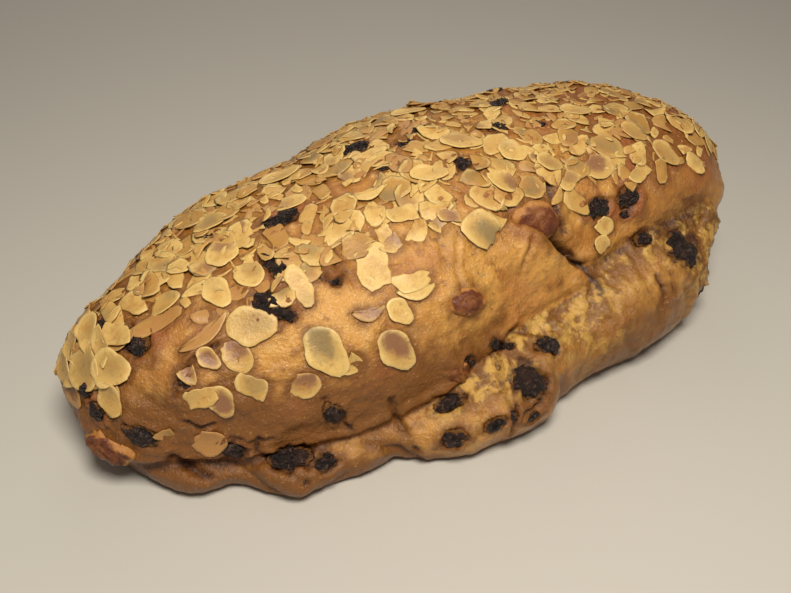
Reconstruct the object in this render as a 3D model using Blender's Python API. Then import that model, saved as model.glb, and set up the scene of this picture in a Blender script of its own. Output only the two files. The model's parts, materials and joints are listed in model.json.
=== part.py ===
"""A festive stollen: a long, folded sweet loaf with raisins in its crust and almond flakes on top.

The part's frame: +X runs along the loaf to its blunt end, -Y is the side where the lip of the fold
shows, +Z is up, and the origin is the centre of the flat underside. The dough's form is worked out
in millimetres and degrees. A place on the crust is a station along the loaf and a lean, which is
the angle from straight up towards the front, seen from the loaf's spine. Meshes are in metres.
"""
import math

import bmesh
import bpy
import numpy as np
from mathutils import Matrix, Vector, noise
from mathutils.bvhtree import BVHTree

MM = 0.001

# The loaf, in millimetres.
HALF_LENGTH = 170.0
HALF_WIDTH = 80.0
CAP_HEIGHT = 68.0         # of the folded-over top, above its widest level
CAP_LEVEL = 32.0          # where the top is widest
LIP_REACH = 84.0          # how far the lip of the fold comes forward
LIP_HALF_LENGTH = 152.0
HIDDEN_LIP = 0.8          # of its reach, on the side where it lies inside the fold
CREASE_RADIUS = 4.0       # softness of the fold's crease
FLOOR_RADIUS = 6.0        # rounding where the crust turns under
SPINE_HEIGHT = 30.0       # the line inside the loaf from which leans are measured
SPINE_HALF_LENGTH = 105.0

# The crack where the near fold ends, in millimetres and degrees.
CRACK_STATION = 37.0
CRACK_LEAN = 53.3
MM_PER_DEGREE = 1.2       # on the crust, round the spine
CRACK_DEPTH = 5.0
CRACK_HALF_WIDTH = 2.2
FOLD_RISE = 5.0           # how far the near fold stands out beside the crack
FOLD_DIP = 3.5            # how far the loaf sinks on the crack's other side

# Meshing.
RINGS = 120
AROUND = 132
SAMPLES_AROUND = 792
LOAF_TRIANGLES = 2500
FLOOR_SHARE = 0.3         # points on the underside, against the same length of crust
FLOOR_SNAP = 0.3          # mm
MARCH_FROM = 136.0        # mm from the spine, outside all of the crust
MARCH_STEP = 4.0
BISECTIONS = 12

# Toppings, in millimetres.
GAP = 0.3                 # kept between touching pieces
RAISIN_THICKNESS = 0.72   # of its width
RAISIN_SUNK = 0.35        # how far its middle lies below the crust, of its half thickness
RAISIN_WRINKLE = 0.13
FLAKE_THICKNESS = 1.2
FLAKE_SIDES = 12
FLAKE_TAPER = 0.24        # makes one end of the outline narrower
FLAKE_DRAPE = 0.5         # how much of the crust's curve a flake takes on
FLAKE_CUP = 0.035         # how far the rim of a flake curls up, of its width
LOOK_DOWN = 12.0          # height above the crust from which a flake is lowered
DEEPEST = -3.0            # a rim over a hollow is held at this height

# Each row: station, lean, length, width, turn of the long side from +X towards the front.
RAISINS = (
    (-161, 49, 8, 6, 80), (-160, 71, 8, 7, 80), (-139, 31, 16, 10, 70), (-147, 5, 11, 8, 0),
    (-148, 88, 15, 9, 30), (-116, 98, 13, 9, 20), (-96, 101, 19, 11, 15), (-84, 102, 10, 8, -10),
    (-77, 86, 11, 8, 60), (-90, 40, 14, 11, 60), (-81, 25, 13, 8, 75), (-70, 4, 18, 9, 0),
    (-22, -16, 13, 8, 10), (8, -11, 11, 7, 0), (11, 14, 10, 8, 0), (55, -17, 17, 9, -20),
    (40, 1, 10, 8, 0), (67, 44, 13, 9, -10), (85, 44, 13, 10, -10), (89, 63, 10, 8, 0),
    (110, 73, 19, 16, 70), (5, 89, 17, 14, 80), (-1, 81, 7, 6, 60), (20, 84, 14, 9, 20),
    (-32, 99, 12, 8, 0), (72, -38, 11, 8, 0), (-28, 93, 13, 7, 10), (-15, 96, 10, 6, -10),
)
SULTANAS = (
    (-14, 61, 18, 12, 10), (-22, 85, 15, 11, 60), (32, 42, 19, 11, 30), (-160, 107, 22, 16, 10),
)
FLAKES = (
    (-98, 46, 24, 17, 22), (-105, 27, 19, 12, 85), (-124, 18, 17, 11, 0), (-124, 68, 20, 14, -25),
    (-105, 68, 19, 14, 85), (-154, 62, 17, 12, 90), (-91, 24, 18, 14, 75), (-76, 38, 23, 12, 85),
    (-47, 39, 23, 18, 75), (-34, 48, 21, 13, 10), (-33, 10, 19, 13, 10), (-25, 25, 18, 14, 60),
    (-55, -26, 24, 13, 0), (-75, 63, 27, 17, 68), (-48, 69, 24, 15, 62), (-86, 72, 15, 13, 0),
    (4, 41, 26, 17, 60), (23, 25, 17, 14, 60), (19, 3, 23, 12, 33), (-5, 14, 20, 11, 24),
    (36, 15, 16, 12, 60), (74, 29, 20, 14, 10), (56, 31, 17, 11, 10), (94, 36, 19, 11, 14),
    (69, 52, 14, 10, 20), (84, 1, 19, 12, 22), (115, 31, 19, 13, 60),
)


def rise(value, start, end):
    """A smooth step from 0 at start to 1 at end."""
    share = np.clip((value - start) / (end - start), 0.0, 1.0)
    return share * share * (3.0 - 2.0 * share)


def swell(value, centre, width):
    """A smooth hump of height 1."""
    return np.exp(-((value - centre) / width) ** 2)


def blend(a, b, radius):
    """The smaller of a and b, rounded where they meet."""
    share = np.clip(0.5 + 0.5 * (b - a) / radius, 0.0, 1.0)
    return b * (1.0 - share) + a * share - radius * share * (1.0 - share)


def pillow(x, y, z, reach, side, top, bottom, roundness, taper):
    """Below 0 inside a soft body whose ends close by taper and whose sections are superellipses."""
    level = np.where(z > 0.0, z / top, z / bottom)
    section = (np.abs(y / side) ** roundness + np.abs(level) ** roundness) ** (1.0 / roundness)
    return (np.abs(x / reach) ** taper + section ** taper) ** (1.0 / taper) - 1.0


def cap_of(x, y, z):
    """The folded-over top: pointed at -X, blunt and higher at +X, flatter along its front."""
    t = x / HALF_LENGTH
    centre = 6.0 - 8.0 * t ** 2
    hollows = 4.0 * swell(x, -45.0, 30.0) + 15.0 * swell(x, -142.0, 23.0) - swell(x, -85.0, 15.0)
    back = HALF_WIDTH + 9.0 * t - hollows
    front = HALF_WIDTH - 17.0 * rise(t, -0.3, 0.4) + 8.0 * rise(t, 0.6, 1.0) - 3.0 * swell(x, -140.0, 25.0)
    side = np.where(y > centre, back, front)
    level = CAP_LEVEL + 10.0 * rise(t, 0.6, 1.0)
    height = CAP_HEIGHT * (1.0 + 0.16 * t - 0.09 * rise(t, 0.8, 1.0)) - 0.9 * (level - CAP_LEVEL)
    height = height + 2.0 * swell(x, 5.0, 30.0) - 1.5 * swell(x, 85.0, 40.0) - 2.0 * swell(x, -60.0, 40.0)
    tuck = 38.0 * rise(y, centre + 30.0, centre - 30.0) * rise(t, 0.2, -0.4)
    depth = 20.0 + level + tuck - 33.0 * rise(t, 0.6, 0.95)
    taper = np.where(t < 0.0, 2.0, 2.75)
    undercut = 13.0 * rise(z, level + 20.0, level - 4.0) * rise(t, 0.6, 0.9)
    reach = HALF_LENGTH + 1.5 * rise(t, 0.0, 0.5) - undercut
    return pillow(x, y - centre, z - level, reach, side, height, depth, 2.25, taper) * 66.0


def lip_of(x, y, z):
    """The lip of the fold, under the front of the cap: thin at -X, thick at +X, with one lobe."""
    t = x / HALF_LENGTH
    thickness = 22.0 + 7.0 * rise(t, -0.55, -0.15) + 17.0 * rise(t, -0.24, 0.16) + 17.0 * rise(t, 0.15, 0.65)
    thickness = thickness + 24.0 * rise(t, 0.6, 0.95)
    lobe = 8.0 * rise(x, -47.0, -20.0) * rise(x, 27.0, 13.0)
    hollows = 14.0 * swell(x, -118.0, 14.0) + 5.0 * swell(x, -76.0, 20.0) + 4.0 * swell(x, -54.0, 7.0)
    reach = LIP_REACH + lobe - hollows - 2.0 * swell(x, 42.0, 10.0) + 4.0 * rise(x, 100.0, 150.0)
    side = np.where(y < 0.0, reach, HIDDEN_LIP * LIP_REACH)
    top = 0.72 * thickness
    bottom = 0.45 * thickness + 18.0
    return pillow(x, y, z - 0.42 * thickness, LIP_HALF_LENGTH, side, top, bottom, 2.3, 3.0) * 50.0


def crack_at(x, lean):
    """Distances along and across the crack; across is positive on the near fold."""
    right = x - CRACK_STATION
    down = (lean - CRACK_LEAN) * MM_PER_DEGREE
    along = (right + down) * math.sqrt(0.5)
    bend = 0.009 * np.maximum(along - 8.0, 0.0) ** 2 + 0.003 * np.minimum(along, 0.0) ** 2 - 2.0
    return along, (down - right) * math.sqrt(0.5) - bend


def relief(x, lean):
    """How far the cap stands out round the crack."""
    along, across = crack_at(x, lean)
    open_part = rise(along, -32.0, -14.0) * rise(along, 42.0, 30.0)
    folded_part = rise(along, -30.0, 0.0) * rise(along, 60.0, 36.0)
    fold = FOLD_RISE * rise(across, -1.0, 5.0) * np.exp(-np.maximum(across, 0.0) / 24.0)
    dip = FOLD_DIP * rise(across, 2.0, -2.0) * np.exp(np.minimum(across, 0.0) / 14.0)
    groove = CRACK_DEPTH * np.exp(-(across / CRACK_HALF_WIDTH) ** 2)
    return (fold - dip) * folded_part - groove * open_part


def unevenness(x, y, z):
    """Soft lumps of a hand-shaped loaf."""
    broad = np.sin(x / 17.0 + 1.3) * np.sin(y / 14.0 + z / 21.0 + 0.4)
    small = np.sin(x / 8.3 + y / 11.0 + 2.1) * np.sin(z / 7.9 - x / 19.0 + 0.8)
    return 0.7 * broad + 0.35 * small


def dough(points):
    """Below 0 inside the loaf, and about the distance to the crust in millimetres."""
    x, y, z = points[..., 0], points[..., 1], points[..., 2]
    lean = np.degrees(np.arctan2(-y, z - SPINE_HEIGHT))
    cap = cap_of(x, y, z) - relief(x, lean)
    body = blend(cap, lip_of(x, y, z), CREASE_RADIUS) - unevenness(x, y, z)
    return -blend(-body, z + 1.0, FLOOR_RADIUS)


def outermost(origins, directions):
    """Where rays from inside the loaf leave it for the last time."""
    outer = np.full(origins.shape[:-1], MARCH_FROM)
    found = np.zeros(outer.shape, dtype=bool)
    for distance in np.arange(MARCH_FROM, 0.0, -MARCH_STEP):
        outer = np.where(found, outer, distance + MARCH_STEP)
        found |= dough(origins + directions * distance) < 0.0
    inner = outer - MARCH_STEP
    for _ in range(BISECTIONS):
        middle = (inner + outer) / 2.0
        inside = dough(origins + directions * middle[..., None]) < 0.0
        inner = np.where(inside, middle, inner)
        outer = np.where(inside, outer, middle)
    crust = origins + directions * inner[..., None]
    crust[..., 2] = np.maximum(crust[..., 2], 0.0)
    return crust


def crust_rings(rings, around):
    """Closed rings of evenly spaced crust points, from the -X end to the +X end."""
    station = np.sin(np.linspace(-math.pi / 2.0, math.pi / 2.0, rings + 1))[:, None]
    angle = np.linspace(-math.pi / 2.0, 1.5 * math.pi, SAMPLES_AROUND + 1)[None, :]
    across = np.sqrt(np.maximum(1.0 - station ** 2, 0.0))
    directions = np.stack(np.broadcast_arrays(station ** 3, across * np.cos(angle), across * np.sin(angle)), -1)
    directions = directions / np.linalg.norm(directions, axis=-1, keepdims=True)
    origins = np.zeros(directions.shape)
    origins[..., 0] = SPINE_HALF_LENGTH * station
    origins[..., 2] = SPINE_HEIGHT
    fine = outermost(origins, directions)
    steps = np.linalg.norm(np.diff(fine, axis=1), axis=-1)
    on_floor = fine[:, 1:, 2] + fine[:, :-1, 2] < 0.1
    steps = np.where(on_floor, steps * FLOOR_SHARE, steps) + 1e-6
    rows = []
    for points, lengths in zip(fine, steps):
        run = np.concatenate(([0.0], np.cumsum(lengths)))
        stops = np.linspace(0.0, run[-1], around, endpoint=False)
        rows.append(np.stack([np.interp(stops, run, points[:, axis]) for axis in range(3)], -1))
    return rows


def place_on_crust(station, lean, turn):
    """A crust point in metres, and axes there: along the piece, across it, and outward."""
    angle = math.radians(lean)
    origin = np.array([station, 0.0, SPINE_HEIGHT])
    point = outermost(origin, np.array([0.0, -math.sin(angle), math.cos(angle)]))
    slope = [dough(point + step) - dough(point - step) for step in np.eye(3) * 3.0]
    outward = Vector(slope).normalized()
    level = (Vector((1.0, 0.0, 0.0)) - outward * outward.x).normalized()
    along = Matrix.Rotation(-math.radians(turn), 3, outward) @ level
    return Vector(point) * MM, along, outward.cross(along), outward


def frame_matrix(point, along, across, outward):
    axes = Matrix((along, across, outward)).transposed()
    return Matrix.Translation(point) @ axes.to_4x4()


def linear(hex_colour):
    """Linear RGBA of an sRGB colour."""
    channels = [int(hex_colour[i:i + 2], 16) / 255.0 for i in (0, 2, 4)]
    return [c / 12.92 if c <= 0.04045 else ((c + 0.055) / 1.055) ** 2.4 for c in channels] + [1.0]


def food_material(name, hex_colour, roughness):
    material = bpy.data.materials.new(name)
    material.use_nodes = True
    shader = material.node_tree.nodes["Principled BSDF"]
    shader.inputs["Base Color"].default_value = linear(hex_colour)
    shader.inputs["Roughness"].default_value = roughness
    shader.inputs["Metallic"].default_value = 0.0
    return material


def add_object(name, mesh, material, collection, matrix=None):
    thing = bpy.data.objects.new(name, mesh)
    collection.objects.link(thing)
    if matrix is not None:
        thing.matrix_world = matrix
    if material is not None:
        mesh.materials.append(material)
    mesh.shade_smooth()
    return thing


def mesh_from(bm, name):
    mesh = bpy.data.meshes.new(name)
    bm.to_mesh(mesh)
    bm.free()
    return mesh


def evaluated_mesh(thing):
    graph = bpy.context.evaluated_depsgraph_get()
    return bpy.data.meshes.new_from_object(thing.evaluated_get(graph))


def loaf_mesh(collection):
    """A sphere with its poles at the loaf's ends, moved onto the crust and thinned where it is flat."""
    bm = bmesh.new()
    bmesh.ops.create_uvsphere(bm, u_segments=AROUND, v_segments=RINGS, radius=1.0)
    rows = crust_rings(RINGS, AROUND)
    for vert in bm.verts:
        ring = round(math.acos(max(-1.0, min(1.0, -vert.co.z))) / math.pi * RINGS)
        spoke = round(math.atan2(vert.co.y, vert.co.x) / math.tau * AROUND) % AROUND
        vert.co = Vector(rows[ring][spoke]) * MM
    dense = add_object("dense_loaf", mesh_from(bm, "dense_loaf"), None, collection)
    thin = dense.modifiers.new("Thin", "DECIMATE")
    thin.ratio = LOAF_TRIANGLES / (2 * AROUND * (RINGS - 1))
    thin.use_collapse_triangulate = True
    mesh = evaluated_mesh(dense)
    mesh.name = "loaf"
    bpy.data.objects.remove(dense)
    for vert in mesh.vertices:
        if vert.co.z < FLOOR_SNAP * MM:
            vert.co.z = 0.0
    return mesh


def raisin_mesh(name, length, width, seed):
    """A flattened, wrinkled berry."""
    bm = bmesh.new()
    bmesh.ops.create_icosphere(bm, subdivisions=2, radius=1.0)
    size = Vector((length, width, width * RAISIN_THICKNESS)) * 0.5 * MM
    for vert in bm.verts:
        wrinkle = noise.noise(vert.co * 1.7 + Vector((seed * 3.1, seed * 1.7, 0.0)))
        vert.co = vert.co * (1.0 + 2.0 * RAISIN_WRINKLE * wrinkle) * size
    return mesh_from(bm, name)


def swollen(mesh, amount):
    """A copy of a mesh, grown by amount along its normals."""
    bm = bmesh.new()
    bm.from_mesh(mesh)
    bm.normal_update()
    grown = [vert.co + vert.normal * amount for vert in bm.verts]
    for vert, place in zip(bm.verts, grown):
        vert.co = place
    return mesh_from(bm, mesh.name + "_socket")


def add_berries(kind, rows, material, parts, cutters):
    """Berries half sunk in the crust, each with a cutter that leaves it a socket."""
    for number, (station, lean, length, width, turn) in enumerate(rows, start=1):
        name = f"{kind}_{number:02d}"
        point, along, across, outward = place_on_crust(station, lean, turn)
        sunk = width * RAISIN_THICKNESS * 0.5 * RAISIN_SUNK * MM
        matrix = frame_matrix(point - outward * sunk, along, across, outward)
        mesh = raisin_mesh(name, length, width, number + len(rows))
        add_object(name, mesh, material, parts, matrix)
        cutter = add_object(name + "_socket", swollen(mesh, 1.25 * GAP * MM), None, cutters, matrix)
        cutter.display_type = "WIRE"
        cutter.hide_render = True


def world_tree(thing):
    """A search tree over the finished faces of an object."""
    mesh = evaluated_mesh(thing)
    mesh.transform(thing.matrix_world)
    bm = bmesh.new()
    bm.from_mesh(mesh)
    bpy.data.meshes.remove(mesh)
    tree = BVHTree.FromBMesh(bm)
    bm.free()
    return tree


def height_below(trees, start, down):
    """Height of the topmost surface under a start point, against LOOK_DOWN below it."""
    hits = [tree.ray_cast(start, down, 2.0 * LOOK_DOWN * MM)[3] for tree in trees]
    nearest = min((hit for hit in hits if hit is not None), default=math.inf)
    return max(LOOK_DOWN * MM - nearest, DEEPEST * MM)


def flake_plate(length, width, heights, lift):
    """A thin almond slice whose underside follows the given heights."""
    bm = bmesh.new()
    flake_outline(bm, length, width)
    for vert, height in zip(bm.verts, heights):
        vert.co.z = height + lift
    bmesh.ops.solidify(bm, geom=bm.faces[:], thickness=-FLAKE_THICKNESS * MM)
    bmesh.ops.recalc_face_normals(bm, faces=bm.faces)
    return bm


def flake_outline(bm, length, width):
    bmesh.ops.create_circle(bm, cap_ends=True, cap_tris=True, segments=FLAKE_SIDES, radius=1.0)
    for vert in bm.verts:
        narrowing = 1.0 - FLAKE_TAPER * vert.co.x * abs(vert.co.x)
        vert.co.x *= length * 0.5 * MM
        vert.co.y *= width * 0.5 * MM * narrowing


def settled_heights(trees, matrix, length, width):
    """Heights of a flake's points: tilted with what lies below, and partly draped over it."""
    bm = bmesh.new()
    flake_outline(bm, length, width)
    spots = [vert.co.copy() for vert in bm.verts]
    bm.free()
    down = -matrix.col[2].xyz
    below = [height_below(trees, matrix @ (spot + Vector((0.0, 0.0, LOOK_DOWN * MM))), down) for spot in spots]
    basis = np.array([[spot.x, spot.y, 1.0] for spot in spots])
    plane = basis @ np.linalg.lstsq(basis, np.array(below), rcond=None)[0]
    rims = np.array([(spot.y / (width * 0.5 * MM)) ** 2 for spot in spots])
    heights = plane + FLAKE_DRAPE * (below - plane) + FLAKE_CUP * width * MM * rims
    return heights, max(below - heights) + GAP * MM


def add_flakes(rows, material, parts, ground):
    """Almond slices, each laid on the crust and on what was laid before it."""
    trees = [world_tree(thing) for thing in ground]
    for number, (station, lean, length, width, turn) in enumerate(rows, start=1):
        matrix = frame_matrix(*place_on_crust(station, lean, turn))
        heights, lift = settled_heights(trees, matrix, length, width)
        while True:
            bm = flake_plate(length, width, heights, lift)
            placed = bm.copy()
            placed.transform(matrix)
            tree = BVHTree.FromBMesh(placed)
            placed.free()
            if not any(tree.overlap(other) for other in trees):
                break
            bm.free()
            lift += 0.25 * GAP * MM
        trees.append(tree)
        name = f"almond_flake_{number:02d}"
        add_object(name, mesh_from(bm, name), material, parts, matrix)


def build():
    for thing in list(bpy.data.objects):
        bpy.data.objects.remove(thing)
    parts = bpy.data.collections.new("stollen")
    cutters = bpy.data.collections.new("stollen_cutters")
    bpy.context.scene.collection.children.link(parts)
    bpy.context.scene.collection.children.link(cutters)
    crust = food_material("baked crust", "B98549", 0.55)
    raisin = food_material("raisin", "332119", 0.4)
    sultana = food_material("glazed sultana", "83512D", 0.35)
    almond = food_material("toasted almond", "D9B873", 0.5)

    loaf = add_object("loaf", loaf_mesh(parts), crust, parts)
    add_berries("raisin", RAISINS, raisin, parts, cutters)
    add_berries("sultana", SULTANAS, sultana, parts, cutters)
    sockets = loaf.modifiers.new("Sockets", "BOOLEAN")
    sockets.operation = "DIFFERENCE"
    sockets.operand_type = "COLLECTION"
    sockets.collection = cutters
    sockets.solver = "EXACT"
    bpy.context.view_layer.update()
    add_flakes(FLAKES, almond, parts, list(parts.objects))


build()
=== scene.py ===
import json
import math
import random

import bmesh
import bpy
import numpy as np
from mathutils import Matrix, Vector, noise
from mathutils.bvhtree import BVHTree
from mathutils.kdtree import KDTree

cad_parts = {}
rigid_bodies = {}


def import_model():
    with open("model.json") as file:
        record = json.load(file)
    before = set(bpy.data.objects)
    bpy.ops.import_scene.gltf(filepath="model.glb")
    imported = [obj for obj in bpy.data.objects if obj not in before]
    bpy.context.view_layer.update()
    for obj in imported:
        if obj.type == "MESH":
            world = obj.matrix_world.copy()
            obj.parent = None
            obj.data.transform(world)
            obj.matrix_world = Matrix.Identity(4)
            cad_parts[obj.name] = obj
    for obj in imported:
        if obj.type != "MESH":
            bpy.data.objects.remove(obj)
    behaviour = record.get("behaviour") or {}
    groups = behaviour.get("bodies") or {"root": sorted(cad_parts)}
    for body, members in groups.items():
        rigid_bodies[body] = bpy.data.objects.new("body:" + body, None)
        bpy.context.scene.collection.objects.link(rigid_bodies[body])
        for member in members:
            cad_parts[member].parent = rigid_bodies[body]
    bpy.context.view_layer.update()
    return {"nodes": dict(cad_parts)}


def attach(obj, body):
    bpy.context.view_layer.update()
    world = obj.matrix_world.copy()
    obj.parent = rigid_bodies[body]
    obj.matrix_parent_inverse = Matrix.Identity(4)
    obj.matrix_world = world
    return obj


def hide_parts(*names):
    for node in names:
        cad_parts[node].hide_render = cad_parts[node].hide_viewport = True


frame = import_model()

MM = 0.001
CLOUDY = {"Detail": 5.0, "Roughness": 0.6, "Distortion": 0.4}

# ---------------------------------------------------------------------------
# The dough's form, in millimetres and degrees, as the CAD loaf has it.
# A place on the crust is a station along the loaf and a lean towards the front.
# ---------------------------------------------------------------------------
HALF_LENGTH = 170.0
HALF_WIDTH = 80.0
CAP_HEIGHT = 68.0
CAP_LEVEL = 32.0
LIP_REACH = 84.0
LIP_HALF_LENGTH = 152.0
HIDDEN_LIP = 0.8
CREASE_RADIUS = 4.0
FLOOR_RADIUS = 6.0
SPINE_HEIGHT = 30.0
SPINE_HALF_LENGTH = 105.0
CRACK_STATION = 37.0
CRACK_LEAN = 53.3
MM_PER_DEGREE = 1.2
CRACK_DEPTH = 6.5
CRACK_HALF_WIDTH = 1.8
FOLD_RISE = 5.0
FOLD_DIP = 3.5

RINGS = 400
AROUND = 236
SAMPLES_AROUND = 1180
MARCH_FROM = 136.0
MARCH_STEP = 4.0
BISECTIONS = 11

# What bakes into the crust: folds as a route of (station, lean), then the groove's half width and depth,
# how far the side towards the crest stands over it (all mm), and how brown it baked, which also sets how dark the
# painted shade in its groove is.
FOLDS = (
    (((-133, 66), (-130, 57), (-122, 52)), 0.9, 1.8, 1.2, 0.7),
    (((-123, 51), (-117, 49), (-112, 48)), 0.8, 2.0, 1.0, 0.9),
    (((-131, 80), (-127, 84), (-122, 82)), 1.0, 1.8, 0.6, 0.8),
    (((-116, 90), (-110, 94), (-101, 92)), 1.0, 1.4, 0.6, 0.4),
    (((-80, 79), (-76, 88), (-70, 95)), 1.2, 1.8, 0.6, 0.7),
    (((-53, 86), (-51, 95), (-46, 104)), 1.2, 2.2, 0.3, 0.6),
    (((-12, 30), (-17, 40), (-17, 48)), 2.4, 1.0, 0.0, 0.3),
    (((-9, 40), (-14, 50), (-15, 56)), 1.1, 0.8, 0.0, 0.3),
    (((47, 25), (44, 34), (43, 42), (46, 49)), 1.3, 2.4, 0.8, 0.9),
    (((86, 76), (88, 81), (87, 86)), 0.8, 1.6, 0.5, 0.9),
    (((94, 77), (93, 84)), 0.7, 1.2, 0.4, 0.8),
    (((126, 54), (131, 62), (133, 73)), 1.6, 1.4, 0.6, 0.3),
    (((116, 50), (124, 57)), 1.3, 1.0, 0.5, 0.3),
    (((-106, 92), (-108, 98), (-103, 102), (-94, 104)), 1.3, 1.8, 0.8, 0.8),
    (((-138, 102), (-135, 106), (-128, 108)), 1.7, 2.6, 0.6, 1.0),
    (((-120, 104), (-106, 109), (-90, 110), (-76, 107)), 2.2, 1.4, 0.7, 0.3),
    (((-66, 100), (-52, 104), (-44, 108)), 1.6, 1.6, 0.8, 0.4),
    (((13, 89), (8, 95), (-1, 96)), 1.2, 1.8, 0.5, 0.5),
    (((-4, 93), (-6, 97), (-7, 101)), 0.8, 1.8, 0.3, 0.8),
    (((22, 82), (10, 79), (-2, 84), (-6, 90)), 1.5, 2.0, 0.9, 0.5),
    (((-145, 60), (-135, 74), (-127, 88)), 2.2, 0.9, 0.0, 0.2),
    (((-64, 30), (-68, 36), (-62, 42), (-56, 38)), 0.9, 1.4, 0.8, 0.6),
    (((-57, 28), (-60, 34), (-55, 42)), 1.0, 1.0, 0.6, 0.4),
    (((104, 10), (112, 24), (113, 38)), 2.4, 1.0, 0.0, 0.2),
    (((18, 56), (24, 48), (30, 45)), 1.0, 1.1, 0.4, 0.4),
    (((30, 50), (38, 55), (50, 60)), 1.1, 0.9, 0.5, 0.3),
    (((55, 84), (64, 92), (70, 100)), 1.4, 0.9, 0.5, 0.1),
    (((102, 84), (108, 92), (110, 101)), 1.4, 0.9, 0.5, 0.1),
)
# Bulges: station, lean, radius and height in mm, and how brown.
BULGES = (
    (-14, 59, 12, 2.2, 0.20), (32, 40, 16, 3.6, 0.35), (-22, 83, 12, 2.6, 0.25), (-92, 86, 13, 2.0, 0.35),
    (12, 49, 4, 1.1, 0.0), (2, 72, 7, 1.3, 0.5), (36, 67, 5, 1.0, 0.6), (-145, 100, 12, 1.6, 0.0),
    (-128, 99, 9, 1.2, 0.0), (-98, 108, 9, 1.4, 0.1), (-60, 102, 12, 0.4, 0.0), (72, 82, 20, 1.6, 0.1),
    (118, 86, 16, 1.4, 0.1), (50, 74, 15, 1.4, 0.0), (-62, 37, 8, 1.9, 0.6), (95, 12, 22, 1.6, 0.1),
    (-110, 76, 10, 1.2, 0.2), (-36, 98, 10, 1.2, 0.0), (88, 50, 8, 2.2, 0.5), (-84, 98, 8, 1.0, 0.1),
    (-30, 90, 7, 1.4, 0.2), (24, 92, 8, 1.4, 0.1), (-8, 101, 6, 1.0, 0.2),
)
# How far each sultana stands out of the crust, and how deeply it is wrinkled, in mm.
SULTANA_LIFTS = ((5.0, 0.6), (3.4, 0.9), (6.2, 0.6), (6.0, 1.6))
# Small berries that peep out between the large ones: station, lean, length, width and turn.
PEEPING = (
    (-97, -8, 9, 6, 30), (-18, 1, 9, 6, 10), (-16, 83, 10, 7, 30), (4, 98, 8, 5, 0), (-6, 95, 6, 4, 80),
    (-84, 46, 8, 6, 60), (-3, -7, 9, 6, 0), (-72, 115, 8, 6, 0), (4, 83, 9, 4, 20), (81, 50, 6, 4, 10),
    (-62, 41, 5, 4, 0), (-128, 60, 5, 4, 40), (60, 4, 7, 5, 30), (-120, -28, 8, 6, 0), (-30, -48, 9, 6, 20),
    (48, -62, 10, 7, 60), (112, -34, 9, 6, 0), (-84, -60, 9, 7, 30), (128, 100, 7, 5, 0),
)


def rise(value, start, end):
    """A smooth step from 0 at start to 1 at end."""
    share = np.clip((value - start) / (end - start), 0.0, 1.0)
    return share * share * (3.0 - 2.0 * share)


def swell(value, centre, width):
    """A smooth hump of height 1."""
    return np.exp(-((value - centre) / width) ** 2)


def blend(a, b, radius):
    """The smaller of a and b, rounded where they meet."""
    share = np.clip(0.5 + 0.5 * (b - a) / radius, 0.0, 1.0)
    return b * (1.0 - share) + a * share - radius * share * (1.0 - share)


def pillow(x, y, z, reach, side, top, bottom, roundness, taper):
    """Below 0 inside a soft body whose ends close by taper and whose sections are superellipses."""
    level = np.where(z > 0.0, z / top, z / bottom)
    section = (np.abs(y / side) ** roundness + np.abs(level) ** roundness) ** (1.0 / roundness)
    return (np.abs(x / reach) ** taper + section ** taper) ** (1.0 / taper) - 1.0


def cap_of(x, y, z):
    """The folded-over top: pointed at -X, blunt and higher at +X, flatter along its front."""
    t = x / HALF_LENGTH
    centre = 6.0 - 8.0 * t ** 2
    hollows = 4.0 * swell(x, -45.0, 30.0) + 15.0 * swell(x, -142.0, 23.0) - swell(x, -85.0, 15.0)
    back = HALF_WIDTH + 9.0 * t - hollows
    front = HALF_WIDTH - 17.0 * rise(t, -0.3, 0.4) + 8.0 * rise(t, 0.6, 1.0) - 3.0 * swell(x, -140.0, 25.0)
    side = np.where(y > centre, back, front)
    level = CAP_LEVEL + 10.0 * rise(t, 0.6, 1.0)
    height = CAP_HEIGHT * (1.0 + 0.16 * t - 0.09 * rise(t, 0.8, 1.0)) - 0.9 * (level - CAP_LEVEL)
    height = height + 2.0 * swell(x, 5.0, 30.0) - 1.5 * swell(x, 85.0, 40.0) - 2.0 * swell(x, -60.0, 40.0)
    tuck = 38.0 * rise(y, centre + 30.0, centre - 30.0) * rise(t, 0.2, -0.4)
    depth = 20.0 + level + tuck - 33.0 * rise(t, 0.6, 0.95)
    taper = np.where(t < 0.0, 2.0, 2.75)
    undercut = 13.0 * rise(z, level + 20.0, level - 4.0) * rise(t, 0.6, 0.9)
    reach = HALF_LENGTH + 1.5 * rise(t, 0.0, 0.5) - undercut
    return pillow(x, y - centre, z - level, reach, side, height, depth, 2.25, taper) * 66.0


def lip_of(x, y, z):
    """The lip of the fold, under the front of the cap: thin at -X, thick at +X, with one lobe."""
    t = x / HALF_LENGTH
    thickness = 22.0 + 7.0 * rise(t, -0.55, -0.15) + 17.0 * rise(t, -0.24, 0.16) + 17.0 * rise(t, 0.15, 0.65)
    thickness = thickness + 24.0 * rise(t, 0.6, 0.95)
    lobe = 8.0 * rise(x, -47.0, -20.0) * rise(x, 27.0, 13.0)
    hollows = 14.0 * swell(x, -118.0, 14.0) + 5.0 * swell(x, -76.0, 20.0) + 4.0 * swell(x, -54.0, 7.0)
    reach = LIP_REACH + lobe - hollows - 2.0 * swell(x, 42.0, 10.0) + 4.0 * rise(x, 100.0, 150.0)
    side = np.where(y < 0.0, reach, HIDDEN_LIP * LIP_REACH)
    top = 0.72 * thickness
    bottom = 0.45 * thickness + 18.0
    return pillow(x, y, z - 0.42 * thickness, LIP_HALF_LENGTH, side, top, bottom, 2.3, 3.0) * 50.0


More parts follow.
